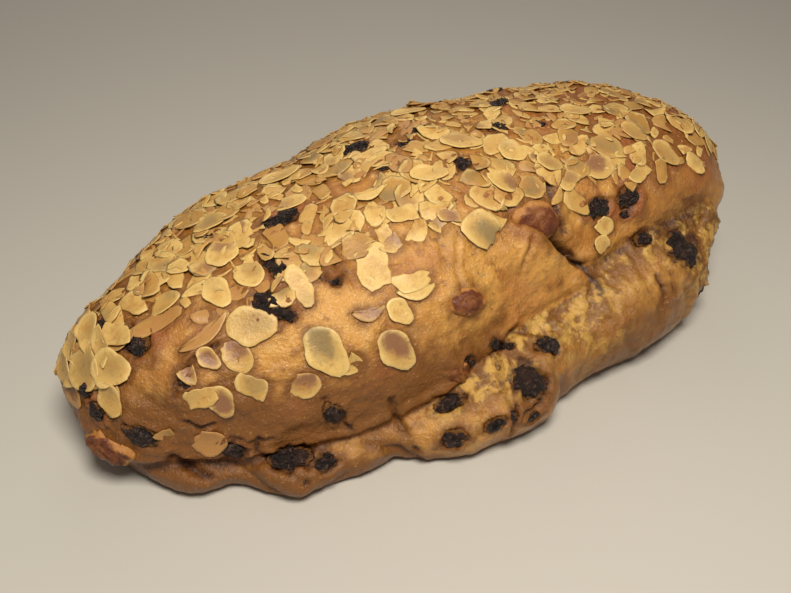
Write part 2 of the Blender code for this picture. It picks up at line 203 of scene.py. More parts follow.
def crack_at(x, lean):
    """Distances along and across the crack; across is positive on the near fold."""
    right = x - CRACK_STATION
    down = (lean - CRACK_LEAN) * MM_PER_DEGREE
    along = (right + down) * math.sqrt(0.5)
    bend = 0.009 * np.maximum(along - 8.0, 0.0) ** 2 + 0.003 * np.minimum(along, 0.0) ** 2 - 2.0
    return along, (down - right) * math.sqrt(0.5) - bend


def relief(x, lean):
    """How far the cap stands out round the crack."""
    along, across = crack_at(x, lean)
    open_part = rise(along, -32.0, -14.0) * rise(along, 42.0, 30.0)
    folded_part = rise(along, -30.0, 0.0) * rise(along, 60.0, 36.0)
    fold = FOLD_RISE * rise(across, -1.0, 5.0) * np.exp(-np.maximum(across, 0.0) / 24.0)
    dip = FOLD_DIP * rise(across, 2.0, -2.0) * np.exp(np.minimum(across, 0.0) / 14.0)
    groove = CRACK_DEPTH * np.exp(-(across / CRACK_HALF_WIDTH) ** 2)
    return (fold - dip) * folded_part - groove * open_part


def unevenness(x, y, z):
    """Soft lumps of a hand-shaped loaf."""
    broad = np.sin(x / 17.0 + 1.3) * np.sin(y / 14.0 + z / 21.0 + 0.4)
    small = np.sin(x / 8.3 + y / 11.0 + 2.1) * np.sin(z / 7.9 - x / 19.0 + 0.8)
    return 0.7 * broad + 0.35 * small


def lean_of(y, z):
    return np.degrees(np.arctan2(-y, z - SPINE_HEIGHT))


def dough(points):
    """Below 0 inside the loaf, and about the distance to the crust in millimetres."""
    x, y, z = points[..., 0], points[..., 1], points[..., 2]
    cap = cap_of(x, y, z) - relief(x, lean_of(y, z))
    body = blend(cap, lip_of(x, y, z), CREASE_RADIUS) - unevenness(x, y, z)
    return -blend(-body, z + 1.0, FLOOR_RADIUS)


def outermost(origins, directions):
    """Where rays from inside the loaf leave it for the last time."""
    outer = np.full(origins.shape[:-1], MARCH_FROM)
    found = np.zeros(outer.shape, dtype=bool)
    for distance in np.arange(MARCH_FROM, 0.0, -MARCH_STEP):
        outer = np.where(found, outer, distance + MARCH_STEP)
        found |= dough(origins + directions * distance) < 0.0
    inner = outer - MARCH_STEP
    for _ in range(BISECTIONS):
        middle = (inner + outer) / 2.0
        inside = dough(origins + directions * middle[..., None]) < 0.0
        inner = np.where(inside, middle, inner)
        outer = np.where(inside, outer, middle)
    crust = origins + directions * inner[..., None]
    crust[..., 2] = np.maximum(crust[..., 2], 0.0)
    return crust


def crust_rings(rings, around):
    """Closed rings of crust points from -X to +X, closest together on the front, sparse on the floor."""
    station = np.sin(np.linspace(-math.pi / 2.0, math.pi / 2.0, rings + 1))[:, None]
    angle = np.linspace(-math.pi / 2.0, 1.5 * math.pi, SAMPLES_AROUND + 1)[None, :]
    across = np.sqrt(np.maximum(1.0 - station ** 2, 0.0))
    directions = np.stack(np.broadcast_arrays(station ** 3, across * np.cos(angle), across * np.sin(angle)), -1)
    directions = directions / np.linalg.norm(directions, axis=-1, keepdims=True)
    origins = np.zeros(directions.shape)
    origins[..., 0] = SPINE_HALF_LENGTH * station
    origins[..., 2] = SPINE_HEIGHT
    fine = outermost(origins, directions)
    steps = np.linalg.norm(np.diff(fine, axis=1), axis=-1)
    middle = (fine[:, 1:] + fine[:, :-1]) / 2.0
    importance = 0.62 + 0.38 * rise(middle[..., 1], 25.0, -5.0)
    importance = np.where(middle[..., 2] < 0.05, 0.14, importance)
    steps = steps * importance + 1e-6
    rows = np.empty((rings + 1, around, 3))
    for row, points, lengths in zip(rows, fine, steps):
        run = np.concatenate(([0.0], np.cumsum(lengths)))
        stops = np.linspace(0.0, run[-1], around, endpoint=False)
        for axis in range(3):
            row[:, axis] = np.interp(stops, run, points[:, axis])
    return rows


def places_on_crust(stations, leans):
    """Crust points in millimetres and the outward directions there."""
    angles = np.radians(leans)
    directions = np.stack([np.zeros(len(angles)), -np.sin(angles), np.cos(angles)], axis=-1)
    origins = np.stack([stations, np.zeros(len(angles)), np.full(len(angles), SPINE_HEIGHT)], axis=-1)
    points = outermost(origins, directions)
    slopes = np.stack([dough(points + step) - dough(points - step) for step in np.eye(3) * 3.0], axis=-1)
    return points, slopes / np.linalg.norm(slopes, axis=-1, keepdims=True)


def axes_at(outward, turn):
    """Axes of a piece that lies on the crust: along it, across it, and outward."""
    outward = Vector(outward)
    level = (Vector((1.0, 0.0, 0.0)) - outward * outward.x).normalized()
    along = Matrix.Rotation(-math.radians(turn), 3, outward) @ level
    return along, outward.cross(along), outward


def place_on_crust(station, lean, turn=0.0):
    """A crust point in metres, and the axes of a piece there."""
    points, outward = places_on_crust(np.array([float(station)]), np.array([float(lean)]))
    return Vector(points[0]) * MM, *axes_at(outward[0], turn)


# ---------------------------------------------------------------------------
# Small helpers
# ---------------------------------------------------------------------------
def linear(hex_colour):
    """Linear RGBA of an sRGB colour."""
    channels = [int(hex_colour[i:i + 2], 16) / 255.0 for i in (0, 2, 4)]
    return [c / 12.92 if c <= 0.04045 else ((c + 0.055) / 1.055) ** 2.4 for c in channels] + [1.0]


def add_node(tree, kind, inputs, output=0, **settings):
    """Adds a node, gives its inputs values or links, and returns one of its outputs."""
    node = tree.nodes.new(kind)
    for name, value in settings.items():
        setattr(node, name, value)
    for key, value in inputs.items():
        if isinstance(value, bpy.types.NodeSocket):
            tree.links.new(value, node.inputs[key])
        else:
            node.inputs[key].default_value = value
    return node.outputs[output] if len(node.outputs) else node


def mesh_object(name, mesh, material=None):
    thing = bpy.data.objects.new(name, mesh)
    bpy.context.scene.collection.objects.link(thing)
    if material is not None:
        mesh.materials.clear()
        mesh.materials.append(material)
    mesh.shade_smooth()
    return thing


def store(mesh, name, kind, values):
    attribute = mesh.attributes.new(name, kind, "POINT")
    field = "vector" if kind == "FLOAT_VECTOR" else "value"
    attribute.data.foreach_set(field, np.ascontiguousarray(values, dtype=np.float32).ravel())


def points_of(mesh):
    flat = np.empty(len(mesh.vertices) * 3, dtype=np.float32)
    mesh.vertices.foreach_get("co", flat)
    return flat.reshape(-1, 3).astype(np.float64)


def normals_of(mesh):
    flat = np.empty(len(mesh.vertices) * 3, dtype=np.float32)
    mesh.vertex_normals.foreach_get("vector", flat)
    return flat.reshape(-1, 3).astype(np.float64)


def place_points(mesh, points):
    mesh.vertices.foreach_set("co", np.ascontiguousarray(points, dtype=np.float32).ravel())
    mesh.update()


def grain(points, size, shift, octaves=3):
    """Smooth noise of about -1 to 1 whose largest features are size across."""
    offset = Vector((shift * 7.13, shift * 3.71, shift * 1.37))
    return np.array([noise.fractal(Vector(p) / size + offset, 1.0, 2.0, octaves) for p in points])


# ---------------------------------------------------------------------------
# Camera, light and floor
# ---------------------------------------------------------------------------
def add_camera():
    data = bpy.data.cameras.new("camera")
    data.sensor_width = 36.0
    data.lens = 40.96
    data.clip_start = 0.01
    camera = bpy.data.objects.new("camera", data)
    bpy.context.scene.collection.objects.link(camera)
    turn = math.radians(28.5)
    tilt = math.radians(38.0)
    ahead = Vector((math.sin(turn) * math.cos(tilt), math.cos(turn) * math.cos(tilt), -math.sin(tilt)))
    target = Vector((-19.0, -12.0, 35.0)) * MM
    camera.location = target - ahead * 420.0 * MM
    camera.rotation_euler = ahead.to_track_quat("-Z", "Y").to_euler()
    bpy.context.scene.camera = camera


def add_light(name, place, target, size, power, colour):
    data = bpy.data.lights.new(name, "AREA")
    data.shape = "DISK"
    data.size = size
    data.energy = power
    data.color = linear(colour)[:3]
    light = bpy.data.objects.new(name, data)
    bpy.context.scene.collection.objects.link(light)
    light.location = place
    light.rotation_euler = (Vector(target) - Vector(place)).to_track_quat("-Z", "Y").to_euler()


def add_studio():
    bpy.context.scene.view_settings.view_transform = "Standard"
    world = bpy.data.worlds.new("soft studio")
    bpy.context.scene.world = world
    world.use_nodes = True
    world.node_tree.nodes["Background"].inputs["Color"].default_value = linear("F4EADB")
    world.node_tree.nodes["Background"].inputs["Strength"].default_value = 0.17
    add_light("softbox above", (-0.12, -0.30, 0.62), (0.0, -0.03, 0.05), 0.24, 4.4, "FFF5E4")
    add_light("softbox behind", (0.35, 0.95, 0.75), (0.0, 0.0, 0.05), 0.8, 1.7, "FFF2E2")
    paper = bpy.data.materials.new("pale_paper_floor")
    paper.use_nodes = True
    shader = paper.node_tree.nodes["Principled BSDF"]
    shader.inputs["Base Color"].default_value = linear("C8C6C1")
    shader.inputs["Roughness"].default_value = 0.9
    mesh = bpy.data.meshes.new("floor")
    bm = bmesh.new()
    bmesh.ops.create_grid(bm, x_segments=1, y_segments=1, size=3.0)
    bm.to_mesh(mesh)
    bm.free()
    mesh_object("floor", mesh, paper)


# ---------------------------------------------------------------------------
# Materials
# ---------------------------------------------------------------------------
def new_material(name):
    material = bpy.data.materials.new(name)
    material.use_nodes = True
    material.node_tree.nodes.clear()
    return material, material.node_tree


def coat(tree, under, colour, pattern, start, full, share=1.0):
    """Lays a colour over another where a pattern runs from start to full."""
    cover = add_node(tree, "ShaderNodeMapRange", {"Value": pattern, "From Min": start, "From Max": full,
                                                  "To Max": share}, interpolation_type="SMOOTHSTEP")
    over = linear(colour) if isinstance(colour, str) else colour
    return add_node(tree, "ShaderNodeMix", {0: cover, 6: under, 7: over}, 2, data_type="RGBA")


def uneven(tree, mask, pattern, swing):
    """A mask whose edge a noise pattern makes ragged."""
    shift = add_node(tree, "ShaderNodeMapRange", {"Value": pattern, "From Min": 0.3, "From Max": 0.7,
                                                  "To Min": -swing, "To Max": swing})
    return add_node(tree, "ShaderNodeMath", {0: mask, 1: shift}, operation="ADD")


def baked_crust():
    """Egg-washed sweet crust: satin and golden, browner in its folds, soft and pale where it stretched, with painted
    shade in its creases, cracks and hollows and painted highlight specks.
    """
    material, tree = new_material("egg_washed_baked_crust")
    place = add_node(tree, "ShaderNodeTexCoord", {}, "Object")
    bake_and_shade, torn, hollow_shade, crevice_shade, ruddy = (
        add_node(tree, "ShaderNodeAttribute", {}, "Fac", attribute_name=name)
        for name in ("bake_and_shade", "torn", "hollow_shade", "crevice_shade", "ruddy"))
    patches, blotches, specks, pores = (
        add_node(tree, "ShaderNodeTexNoise", {"Vector": place, "Scale": 1.0 / (size * MM), **CLOUDY})
        for size in (30.0, 9.0, 3.2, 1.4))
    colour = coat(tree, linear("D69E4C"), "BF8238", patches, 0.42, 0.62)
    colour = coat(tree, colour, "E6B669", blotches, 0.54, 0.70, 0.8)
    colour = coat(tree, colour, "965C20", blotches, 0.46, 0.30, 0.8)
    # Browned crust, together with painted shade low down, at the ends, in wrinkle valleys and beside the pieces on
    # it.
    colour = coat(tree, colour, "80501D", uneven(tree, bake_and_shade, blotches, 0.2), 0.05, 0.85)
    colour = coat(tree, colour, "A55F33", uneven(tree, ruddy, blotches, 0.25), 0.1, 0.9, 0.6)
    crumb_share = uneven(tree, torn, blotches, 0.25)
    crumb = coat(tree, linear("CCA04F"), "7A4F1B", blotches, 0.57, 0.41)
    crumb = coat(tree, crumb, "6E4519", specks, 0.52, 0.66, 0.5)
    # Painted shade in the crumb's hollows and the stretch marks' valleys.
    crumb = coat(tree, crumb, "7E4D1B", uneven(tree, hollow_shade, specks, 0.2), 0.15, 0.9, 0.85)
    colour = coat(tree, colour, crumb, crumb_share, 0.1, 0.9)
    colour = coat(tree, colour, "80501D", specks, 0.54, 0.70, 0.45)
    # Painted highlight: pale specks on the raised pores.
    colour = coat(tree, colour, "F4D08C", pores, 0.60, 0.74, 0.35)
    colour = coat(tree, colour, "6C3F15", pores, 0.40, 0.28, 0.35)
    # Painted shade: near black in the crease, the crack, fold grooves and raisin pits.
    colour = coat(tree, colour, "3F1D0C", uneven(tree, crevice_shade, specks, 0.25), 0.10, 0.95, 0.94)
    skin = add_node(tree, "ShaderNodeMath", {0: specks, 1: pores}, operation="ADD")
    bump = add_node(tree, "ShaderNodeBump", {"Strength": 0.8, "Distance": 0.0009, "Height": skin})
    gloss = add_node(tree, "ShaderNodeMapRange", {"Value": patches, "From Min": 0.35, "From Max": 0.65,
                                                  "To Min": 0.30, "To Max": 0.44})
    dull = add_node(tree, "ShaderNodeMath", {0: crumb_share, 1: 0.12, 2: gloss}, operation="MULTIPLY_ADD")
    egg_wash = add_node(tree, "ShaderNodeMapRange", {"Value": bake_and_shade, "From Min": 0.2, "From Max": 0.7,
                                                     "To Min": 0.5, "To Max": 0.1})
    shader = add_node(tree, "ShaderNodeBsdfPrincipled", {
        "Base Color": colour, "Roughness": dull, "IOR": 1.5, "Subsurface Weight": 0.06,
        "Subsurface Radius": (1.0, 0.5, 0.25), "Subsurface Scale": 0.002,
        "Coat Weight": egg_wash, "Coat Roughness": 0.2, "Normal": bump, "Coat Normal": bump})
    add_node(tree, "ShaderNodeOutputMaterial", {"Surface": shader})
    return material


def raisin_skin():
    """Dried grape skin: near black and waxy in its folds, with a brown bloom and dough on its ridges, and a painted
    highlight of lighter grey-mauve on its raised wrinkles, partly dusty bloom.
    """
    material, tree = new_material("wrinkled_raisin_skin")
    place = add_node(tree, "ShaderNodeTexCoord", {}, "Object")
    film = add_node(tree, "ShaderNodeAttribute", {}, "Fac", attribute_name="film")
    clouds, creases, pores = (add_node(tree, "ShaderNodeTexNoise", {"Vector": place, "Scale": 1.0 / (size * MM), **CLOUDY})
                                  for size in (5.0, 1.8, 0.9))
    colour = coat(tree, linear("150C0B"), "301B17", clouds, 0.42, 0.62)
    # Painted highlight, partly dusty bloom: the raised wrinkles are lighter grey-mauve.
    colour = coat(tree, colour, "7C6156", creases, 0.53, 0.70, 0.55)
    colour = coat(tree, colour, "80521F", uneven(tree, film, clouds, 0.6), 0.42, 0.86, 0.85)
    skin = add_node(tree, "ShaderNodeMath", {0: creases, 1: pores}, operation="ADD")
    bump = add_node(tree, "ShaderNodeBump", {"Strength": 1.0, "Distance": 0.0012, "Height": skin})
    shader = add_node(tree, "ShaderNodeBsdfPrincipled", {
        "Base Color": colour, "Roughness": 0.26, "IOR": 1.5, "Normal": bump})
    add_node(tree, "ShaderNodeOutputMaterial", {"Surface": shader})
    return material


def glazed_fruit():
    """A sultana under a film of baked dough: red-brown, shiny, golden where the dough laps over it."""
    material, tree = new_material("dough_filmed_sultana")
    place = add_node(tree, "ShaderNodeTexCoord", {}, "Object")
    film = add_node(tree, "ShaderNodeAttribute", {}, "Fac", attribute_name="film")
    clouds, creases, pores = (add_node(tree, "ShaderNodeTexNoise", {"Vector": place, "Scale": 1.0 / (size * MM), **CLOUDY})
                                  for size in (6.0, 2.4, 1.0))
    colour = coat(tree, linear("6E3820"), "8F5A30", clouds, 0.42, 0.64)
    colour = coat(tree, colour, "3F2015", creases, 0.46, 0.32, 0.7)
    colour = coat(tree, colour, "B97F42", uneven(tree, film, clouds, 0.35), 0.25, 0.8)
    bump = add_node(tree, "ShaderNodeBump", {"Strength": 0.8, "Distance": 0.0007, "Height": pores})
    shader = add_node(tree, "ShaderNodeBsdfPrincipled", {
        "Base Color": colour, "Roughness": 0.33, "IOR": 1.45, "Normal": bump})
    add_node(tree, "ShaderNodeOutputMaterial", {"Surface": shader})
    return material


def toasted_almond():
    """Thin almond slices: cream, glassy and toasted in the middle, coated like the crust where they sank."""
    material, tree = new_material("toasted_almond_slice")
    place = add_node(tree, "ShaderNodeTexCoord", {}, "Object")
    inside, toast, finish = (add_node(tree, "ShaderNodeAttribute", {}, "Vector", attribute_name=name)
                             for name in ("slice_place", "toast", "finish"))
    clouds, flecks, pores = (add_node(tree, "ShaderNodeTexNoise", {"Vector": place, "Scale": 1.0 / (size * MM), **CLOUDY})
                                  for size in (6.0, 2.2, 1.0))
    tone, glaze, ruddy = (add_node(tree, "ShaderNodeSeparateXYZ", {0: finish}, k) for k in range(3))
    toast_x, toast_y, strength = (add_node(tree, "ShaderNodeSeparateXYZ", {0: toast}, k) for k in range(3))
    local_x, local_y, level = (add_node(tree, "ShaderNodeSeparateXYZ", {0: inside}, k) for k in range(3))
    flat = add_node(tree, "ShaderNodeCombineXYZ", {0: local_x, 1: local_y})
    spot = add_node(tree, "ShaderNodeCombineXYZ", {0: toast_x, 1: toast_y})
    away = add_node(tree, "ShaderNodeVectorMath", {0: flat, 1: spot}, "Value", operation="DISTANCE")
    away = uneven(tree, away, clouds, 0.28)
    rim = add_node(tree, "ShaderNodeVectorMath", {0: flat}, "Value", operation="LENGTH")
    near_spot = add_node(tree, "ShaderNodeMapRange", {"Value": away, "From Min": 1.1, "From Max": 0.25},
                         interpolation_type="SMOOTHSTEP")
    toasted = add_node(tree, "ShaderNodeMath", {0: near_spot, 1: strength}, operation="MULTIPLY")
    colour = coat(tree, linear("E0BD74"), "B88B49", tone, 0.0, 1.0)
    colour = coat(tree, colour, "C0944F", clouds, 0.46, 0.68, 0.6)
    colour = coat(tree, colour, "C99A55", rim, 0.55, 0.1, 0.5)
    colour = coat(tree, colour, "9C6F35", flecks, 0.54, 0.70, 0.45)
    # Painted highlight: a paler band along the rim.
    colour = coat(tree, colour, "EED28E", uneven(tree, rim, clouds, 0.22), 0.72, 0.98, 0.5)
    brown = coat(tree, linear("8C7852"), "8B6048", ruddy, 0.3, 0.7)
    colour = coat(tree, colour, brown, toasted, 0.0, 1.0, 0.92)
    colour = coat(tree, colour, "B5834C", uneven(tree, glaze, clouds, 0.4), 0.25, 0.85, 0.85)
    # Darker down the side wall and underside: partly a toasted edge, partly painted shade.
    colour = coat(tree, colour, "8E5F2C", level, 0.7, 0.2, 0.6)
    skin = add_node(tree, "ShaderNodeMath", {0: flecks, 1: pores}, operation="ADD")
    bump = add_node(tree, "ShaderNodeBump", {"Strength": 0.5, "Distance": 0.0005, "Height": skin})
    shader = add_node(tree, "ShaderNodeBsdfPrincipled", {
        "Base Color": colour, "Roughness": 0.33, "IOR": 1.46, "Subsurface Weight": 0.1,
        "Subsurface Radius": (1.0, 0.7, 0.4), "Subsurface Scale": 0.001, "Normal": bump})
    add_node(tree, "ShaderNodeOutputMaterial", {"Surface": shader})
    return material


# ---------------------------------------------------------------------------
# The crust
# ---------------------------------------------------------------------------
class Berry:
    """A berry's middle, half sizes in mm and axes (long, wide, outward)."""

    def __init__(self, middle, half, axes):
        self.middle = middle
        self.half = half
        self.axes = axes


def cad_berry(node):
    """The berry that a CAD node stands for."""
    bm = bmesh.new()
    bm.from_mesh(frame["nodes"][node].data)
    bmesh.ops.remove_doubles(bm, verts=bm.verts, dist=1e-6)
    points = np.array([vert.co for vert in bm.verts]) / MM
    bm.free()
    middle = points.mean(axis=0)
    axes = np.linalg.svd(points - middle, full_matrices=False)[2]
    spine = [np.clip(middle[0], -SPINE_HALF_LENGTH, SPINE_HALF_LENGTH), 0.0, SPINE_HEIGHT]
    if np.dot(axes[2], middle - spine) < 0.0:
        axes[2] = -axes[2]
    axes[1] = np.cross(axes[2], axes[0])
    along = (points - middle) @ axes.T
    middle = middle + ((along.max(axis=0) + along.min(axis=0)) / 2.0) @ axes
    return Berry(middle, (along.max(axis=0) - along.min(axis=0)) / 2.0, axes)


def peeping_berry(station, lean, length, width, turn):
    """A small berry whose top just shows in the crust."""
    point, *axes = place_on_crust(station, lean, turn)
    axes = np.array(axes)
    half = np.array([length, width, 0.8 * width]) / 2.0
    return Berry(np.array(point) / MM - axes[2] * 0.4 * half[2], half, axes)


def names_of(kind):
    return sorted(name for name in frame["nodes"] if name.startswith(kind))


def crust_masks(points):
    """How brown the crust baked along with painted shade low down and at its ends, where it stretched, and the
    painted shade in its crease and crack, from 0 to 1, and how far past the crease it is.
    """
    x, y, z = points[:, 0], points[:, 1], points[:, 2]
    lean = lean_of(y, z)
    past_crease = cap_of(x, y, z) - relief(x, lean) - lip_of(x, y, z)
    front = rise(lean, 20.0, 60.0)
    on_lip = rise(past_crease, -1.5, 1.5) * front
    reach = 7.0 + 14.0 * swell(x, 50.0, 32.0) + 9.0 * swell(x, -8.0, 20.0) + 12.0 * swell(x, 125.0, 26.0)
    torn = on_lip * np.exp(-np.maximum(past_crease - 1.0, 0.0) ** 2 / reach ** 2) * rise(x, -52.0, -20.0) * rise(x, 168.0, 146.0)
    along, across = crack_at(x, lean)
    in_crack = np.exp(-(across / 3.0) ** 2) * rise(along, -34.0, -18.0) * rise(along, 40.0, 30.0)
    # Painted shade, partly real browning: the low front of the cap is darker.
    low_cap_bake_and_shade = (1.0 - on_lip) * rise(lean, 58.0, 86.0) * rise(x, 30.0, -30.0) * 0.68
    dome = (1.0 - on_lip) * rise(x, 55.0, 105.0) * 0.34
    # Painted shade: the left lip darkens towards the floor.
    left_lip_shade = on_lip * rise(x, -40.0, -62.0) * (0.08 + 0.8 * rise(z, 16.0, 2.0))
    right_lip = on_lip * rise(x, 8.0, 40.0) * rise(past_crease, 10.0, 32.0) * 0.62
    # Painted shade: darker at the foot, on the back, at the left end and on the low front.
    under = rise(z, 12.0, 0.5) * 0.6 + rise(lean, 10.0, -30.0) * 0.22 + rise(x, -85.0, -145.0) * 0.3
    under = under + 0.22 * rise(lean, 62.0, 92.0)
    bake_and_shade = np.clip(low_cap_bake_and_shade + dome + left_lip_shade + right_lip + under, 0.0, 1.0)
    # Painted shade in the crease under the cap and in the crack.
    open_crease = (1.0 - 0.8 * swell(x, 15.0, 45.0)) * (1.0 - 0.6 * swell(x, -55.0, 24.0))
    crease = np.exp(-(past_crease / 2.4) ** 2) * front * open_crease
    crevice_shade = np.maximum(0.7 * crease * rise(x, 152.0, 120.0), in_crack)
    return bake_and_shade, np.clip(torn, 0.0, 1.0), crevice_shade, past_crease, on_lip, crease


def fold_relief(points):
    """Millimetres that hand-made folds and bulges add to the crust, how brown they are, and how dark the painted
    shade in their grooves is.
    """
    raised = np.zeros(len(points))
    bake_and_shade = np.zeros(len(points))
    crevice_shade = np.zeros(len(points))
    for number, (route, width, depth, step, brown) in enumerate(FOLDS):
        spots = [place_on_crust(*spot) for spot in route]
        nearest = np.full(len(points), 1e3)
        side = np.zeros(len(points))
        for (start, _, _, outward), (end, _, _, _) in zip(spots, spots[1:]):
            start, end, outward = np.array(start) / MM, np.array(end) / MM, np.array(outward)
            run = end - start
            share = np.clip((points - start) @ run / (run @ run), 0.0, 1.0)
            offset = points - start - share[:, None] * run
            distance = np.linalg.norm(offset, axis=1)
            closer = distance < nearest
            nearest = np.where(closer, distance, nearest)
            side = np.where(closer, offset @ np.cross(outward, run / np.linalg.norm(run)), side)
        near = np.where(nearest < 26.0)[0]
        ragged = nearest[near] + 0.5 * width * grain(points[near], 4.0, number + 30.0, 2)
        ends = rise(nearest[near], 24.0, 6.0)
        groove = np.exp(-(ragged / width) ** 2)
        shoulder = 0.3 * depth * swell(ragged, 2.4 * width, 1.3 * width)
        flap = step * rise(side[near], -0.8, 1.2) * np.exp(-np.abs(ragged) / 7.0) * ends
        raised[near] += shoulder + flap - depth * groove
        bake_and_shade[near] += 0.45 * brown * np.exp(-(ragged / (2.2 * width + 1.0)) ** 2)
        # Painted shade in the fold's groove.
        crevice_shade[near] = np.maximum(crevice_shade[near], brown * np.exp(-(ragged / (1.1 * width)) ** 2))
    for station, lean, radius, height, brown in BULGES:
        middle = np.array(place_on_crust(station, lean)[0]) / MM
        hump = np.exp(-((points - middle) ** 2).sum(axis=1) / (0.6 * radius) ** 2)
        raised += height * hump
        bake_and_shade += brown * hump
    return raised, bake_and_shade, crevice_shade


def round_berries(points, normals, berries, lapped):
    """How the crust puckers round each berry, in millimetres, how dark the painted shade in its pit is, and how
    brown it is there.

    A raisin lies in a ragged hole darkened with painted shade; over a lapped berry the crust bulges and closes.
    """
    raised = np.zeros(len(points))
    crevice_shade = np.zeros(len(points))
    bake_and_shade = np.zeros(len(points))
    for number, berry in enumerate(berries):
        offset = points - berry.middle
        near = np.where((offset ** 2).sum(axis=1) < (3.0 * berry.half[0]) ** 2)[0]
        local = offset[near] @ berry.axes.T / berry.half
        away = np.hypot(local[:, 0], local[:, 1])
        ragged = away + 0.42 * grain(points[near], 4.5, number + 3.0, 3)
        circle = np.stack([local[:, 0] / away * 2.0, local[:, 1] / away * 2.0, 0.4 * away], axis=-1)
        rays = grain(circle, 1.0, number + 11.0, 2)
        facing = rise(normals[near] @ berry.axes[2], 0.1, 0.5)
        pucker = 0.8 * rays * np.exp(-((away - 1.4) / 0.65) ** 2)
        if number in lapped:
            raised[near] += (pucker + 1.0 * swell(ragged, 0.9, 0.7)) * facing
            bake_and_shade[near] += 0.35 * rise(ragged, 1.9, 0.9) * facing
            continue
        raised[near] += (1.3 * pucker + 0.9 * swell(ragged, 1.35, 0.3) - 1.4 * rise(ragged, 1.1, 0.7)) * facing
        # Painted shade in the raisin's pit.
        crevice_shade[near] = np.maximum(crevice_shade[near], 0.7 * rise(ragged, 1.22, 0.95) * facing)
        bake_and_shade[near] += 0.4 * rise(ragged, 2.1, 1.1) * facing
    return raised, crevice_shade, bake_and_shade


def crust_mesh(berries, lapped):
    bm = bmesh.new()
    bmesh.ops.create_uvsphere(bm, u_segments=AROUND, v_segments=RINGS, radius=1.0)
    mesh = bpy.data.meshes.new("crust")
    bm.to_mesh(mesh)
    bm.free()
    unit = points_of(mesh)
    ring = np.rint(np.arccos(np.clip(-unit[:, 2], -1.0, 1.0)) / math.pi * RINGS).astype(int)
    spoke = np.rint(np.arctan2(unit[:, 1], unit[:, 0]) / math.tau * AROUND).astype(int) % AROUND
    points = crust_rings(RINGS, AROUND)[ring, spoke]
    place_points(mesh, points * MM)
    normals = normals_of(mesh)
    bake_and_shade, torn, crevice_shade, past_crease, on_lip, crease = crust_masks(points)
    folds, fold_brown, fold_shade = fold_relief(points)
    pits, pit_shade, pit_brown = round_berries(points, normals, berries, lapped)
    x, lean = points[:, 0], lean_of(points[:, 1], points[:, 2])
    lumpy = 1.0 * grain(points, 24.0, 1.0, 3)
    patchy = rise(grain(points, 30.0, 8.0, 2), -0.4, 0.4)
    wrinkles = -1.2 * np.abs(grain(points * np.array([1.0, 0.7, 0.7]), 13.0, 2.0, 3)) * patchy
    tight = rise(lean, 40.0, 80.0) * (1.0 - 0.5 * on_lip) + rise(x, 60.0, 120.0) * 0.5
    drawn = -1.0 * np.abs(grain(points * np.array([0.6, 1.0, 1.0]), 7.0, 12.0, 3)) * np.clip(tight, 0.0, 1.0)
    pebbles = 0.28 * grain(points, 3.8, 6.0, 2)
    lumps = np.abs(grain(points * np.array([1.0, 0.55, 0.55]), 11.0, 9.0, 3))
    crumb = torn * (4.0 * np.minimum(lumps, 0.4) - 1.4 + 1.5 * grain(points, 18.0, 4.0, 2))
    crumb = crumb + torn * 1.3 * np.abs(grain(points, 5.0, 19.0, 3))
    stretched = on_lip * rise(past_crease, 0.5, 4.0) * rise(past_crease, 40.0, 16.0) * rise(x, 25.0, 60.0) * rise(x, 158.0, 142.0)
    pulled = points * np.array([1.0, 0.22, 0.22])
    striae = -stretched * 1.8 * np.abs(grain(pulled, 4.6, 5.0, 3)) * (0.5 + 0.5 * patchy)
    valley = -2.4 * crease * (1.0 - 0.8 * torn)
    overhang = 1.3 * np.exp(-((past_crease + 6.0) / 4.0) ** 2) * rise(lean, 40.0, 70.0)
    out = lumpy + wrinkles + drawn + pebbles + crumb + striae + valley + overhang + folds + pits
    # Painted shade: darker in the crumb's hollows and the stretch marks' valleys.
    hollow_shade = torn * rise(lumps, 0.16, 0.02) + 0.5 * rise(-striae, 0.05, 0.7)
    free = rise(points[:, 2], 0.4, 4.0)
    points = points + normals * (out * free)[:, None]
    points[:, 2] = np.maximum(points[:, 2], 0.0)
    place_points(mesh, points * MM)
    pinkish = 0.5 * rise(x, 40.0, 90.0) * rise(lean, 80.0, 10.0) + 0.05 * rise(x, -60.0, -110.0)
    pinkish = pinkish + 0.45 * rise(grain(points, 26.0, 15.0, 2), 0.0, 0.5) + 0.5 * pit_brown
    # The wrinkle valleys are made browner: painted shade.
    store(mesh, "bake_and_shade", "FLOAT", np.clip(bake_and_shade + fold_brown + pit_brown - 0.35 * (wrinkles + drawn), 0.0, 1.0))
    store(mesh, "torn", "FLOAT", torn)
    store(mesh, "hollow_shade", "FLOAT", np.clip(hollow_shade, 0.0, 1.0))
    store(mesh, "crevice_shade", "FLOAT", np.clip(np.maximum(np.maximum(crevice_shade, fold_shade), pit_shade), 0.0, 1.0))
    store(mesh, "ruddy", "FLOAT", np.clip(pinkish * (1.0 - on_lip), 0.0, 1.0))
    return mesh


def shade_and_brown_between(mesh, pieces):
    """Darkens the crust in the narrow gaps beside the pieces that lie on it: painted shade, and partly glaze that
    browned where it pooled there.
    """
    tree = KDTree(sum(len(piece.vertices) for piece in pieces))
    spot = 0
    for piece in pieces:
        for vert in piece.vertices:
            tree.insert(vert.co, spot)
            spot += 1
    tree.balance()
    away = np.array([tree.find(vert.co)[2] for vert in mesh.vertices]) / MM
    bake_and_shade = mesh.attributes["bake_and_shade"].data
    values = np.empty(len(bake_and_shade), dtype=np.float32)
    bake_and_shade.foreach_get("value", values)
    # Painted shade, with some pooled glaze: darker within about 2 mm of a piece.
    values = np.clip(values + 0.52 * np.exp(-(away / 2.2) ** 2), 0.0, 1.0).astype(np.float32)
    bake_and_shade.foreach_set("value", values)


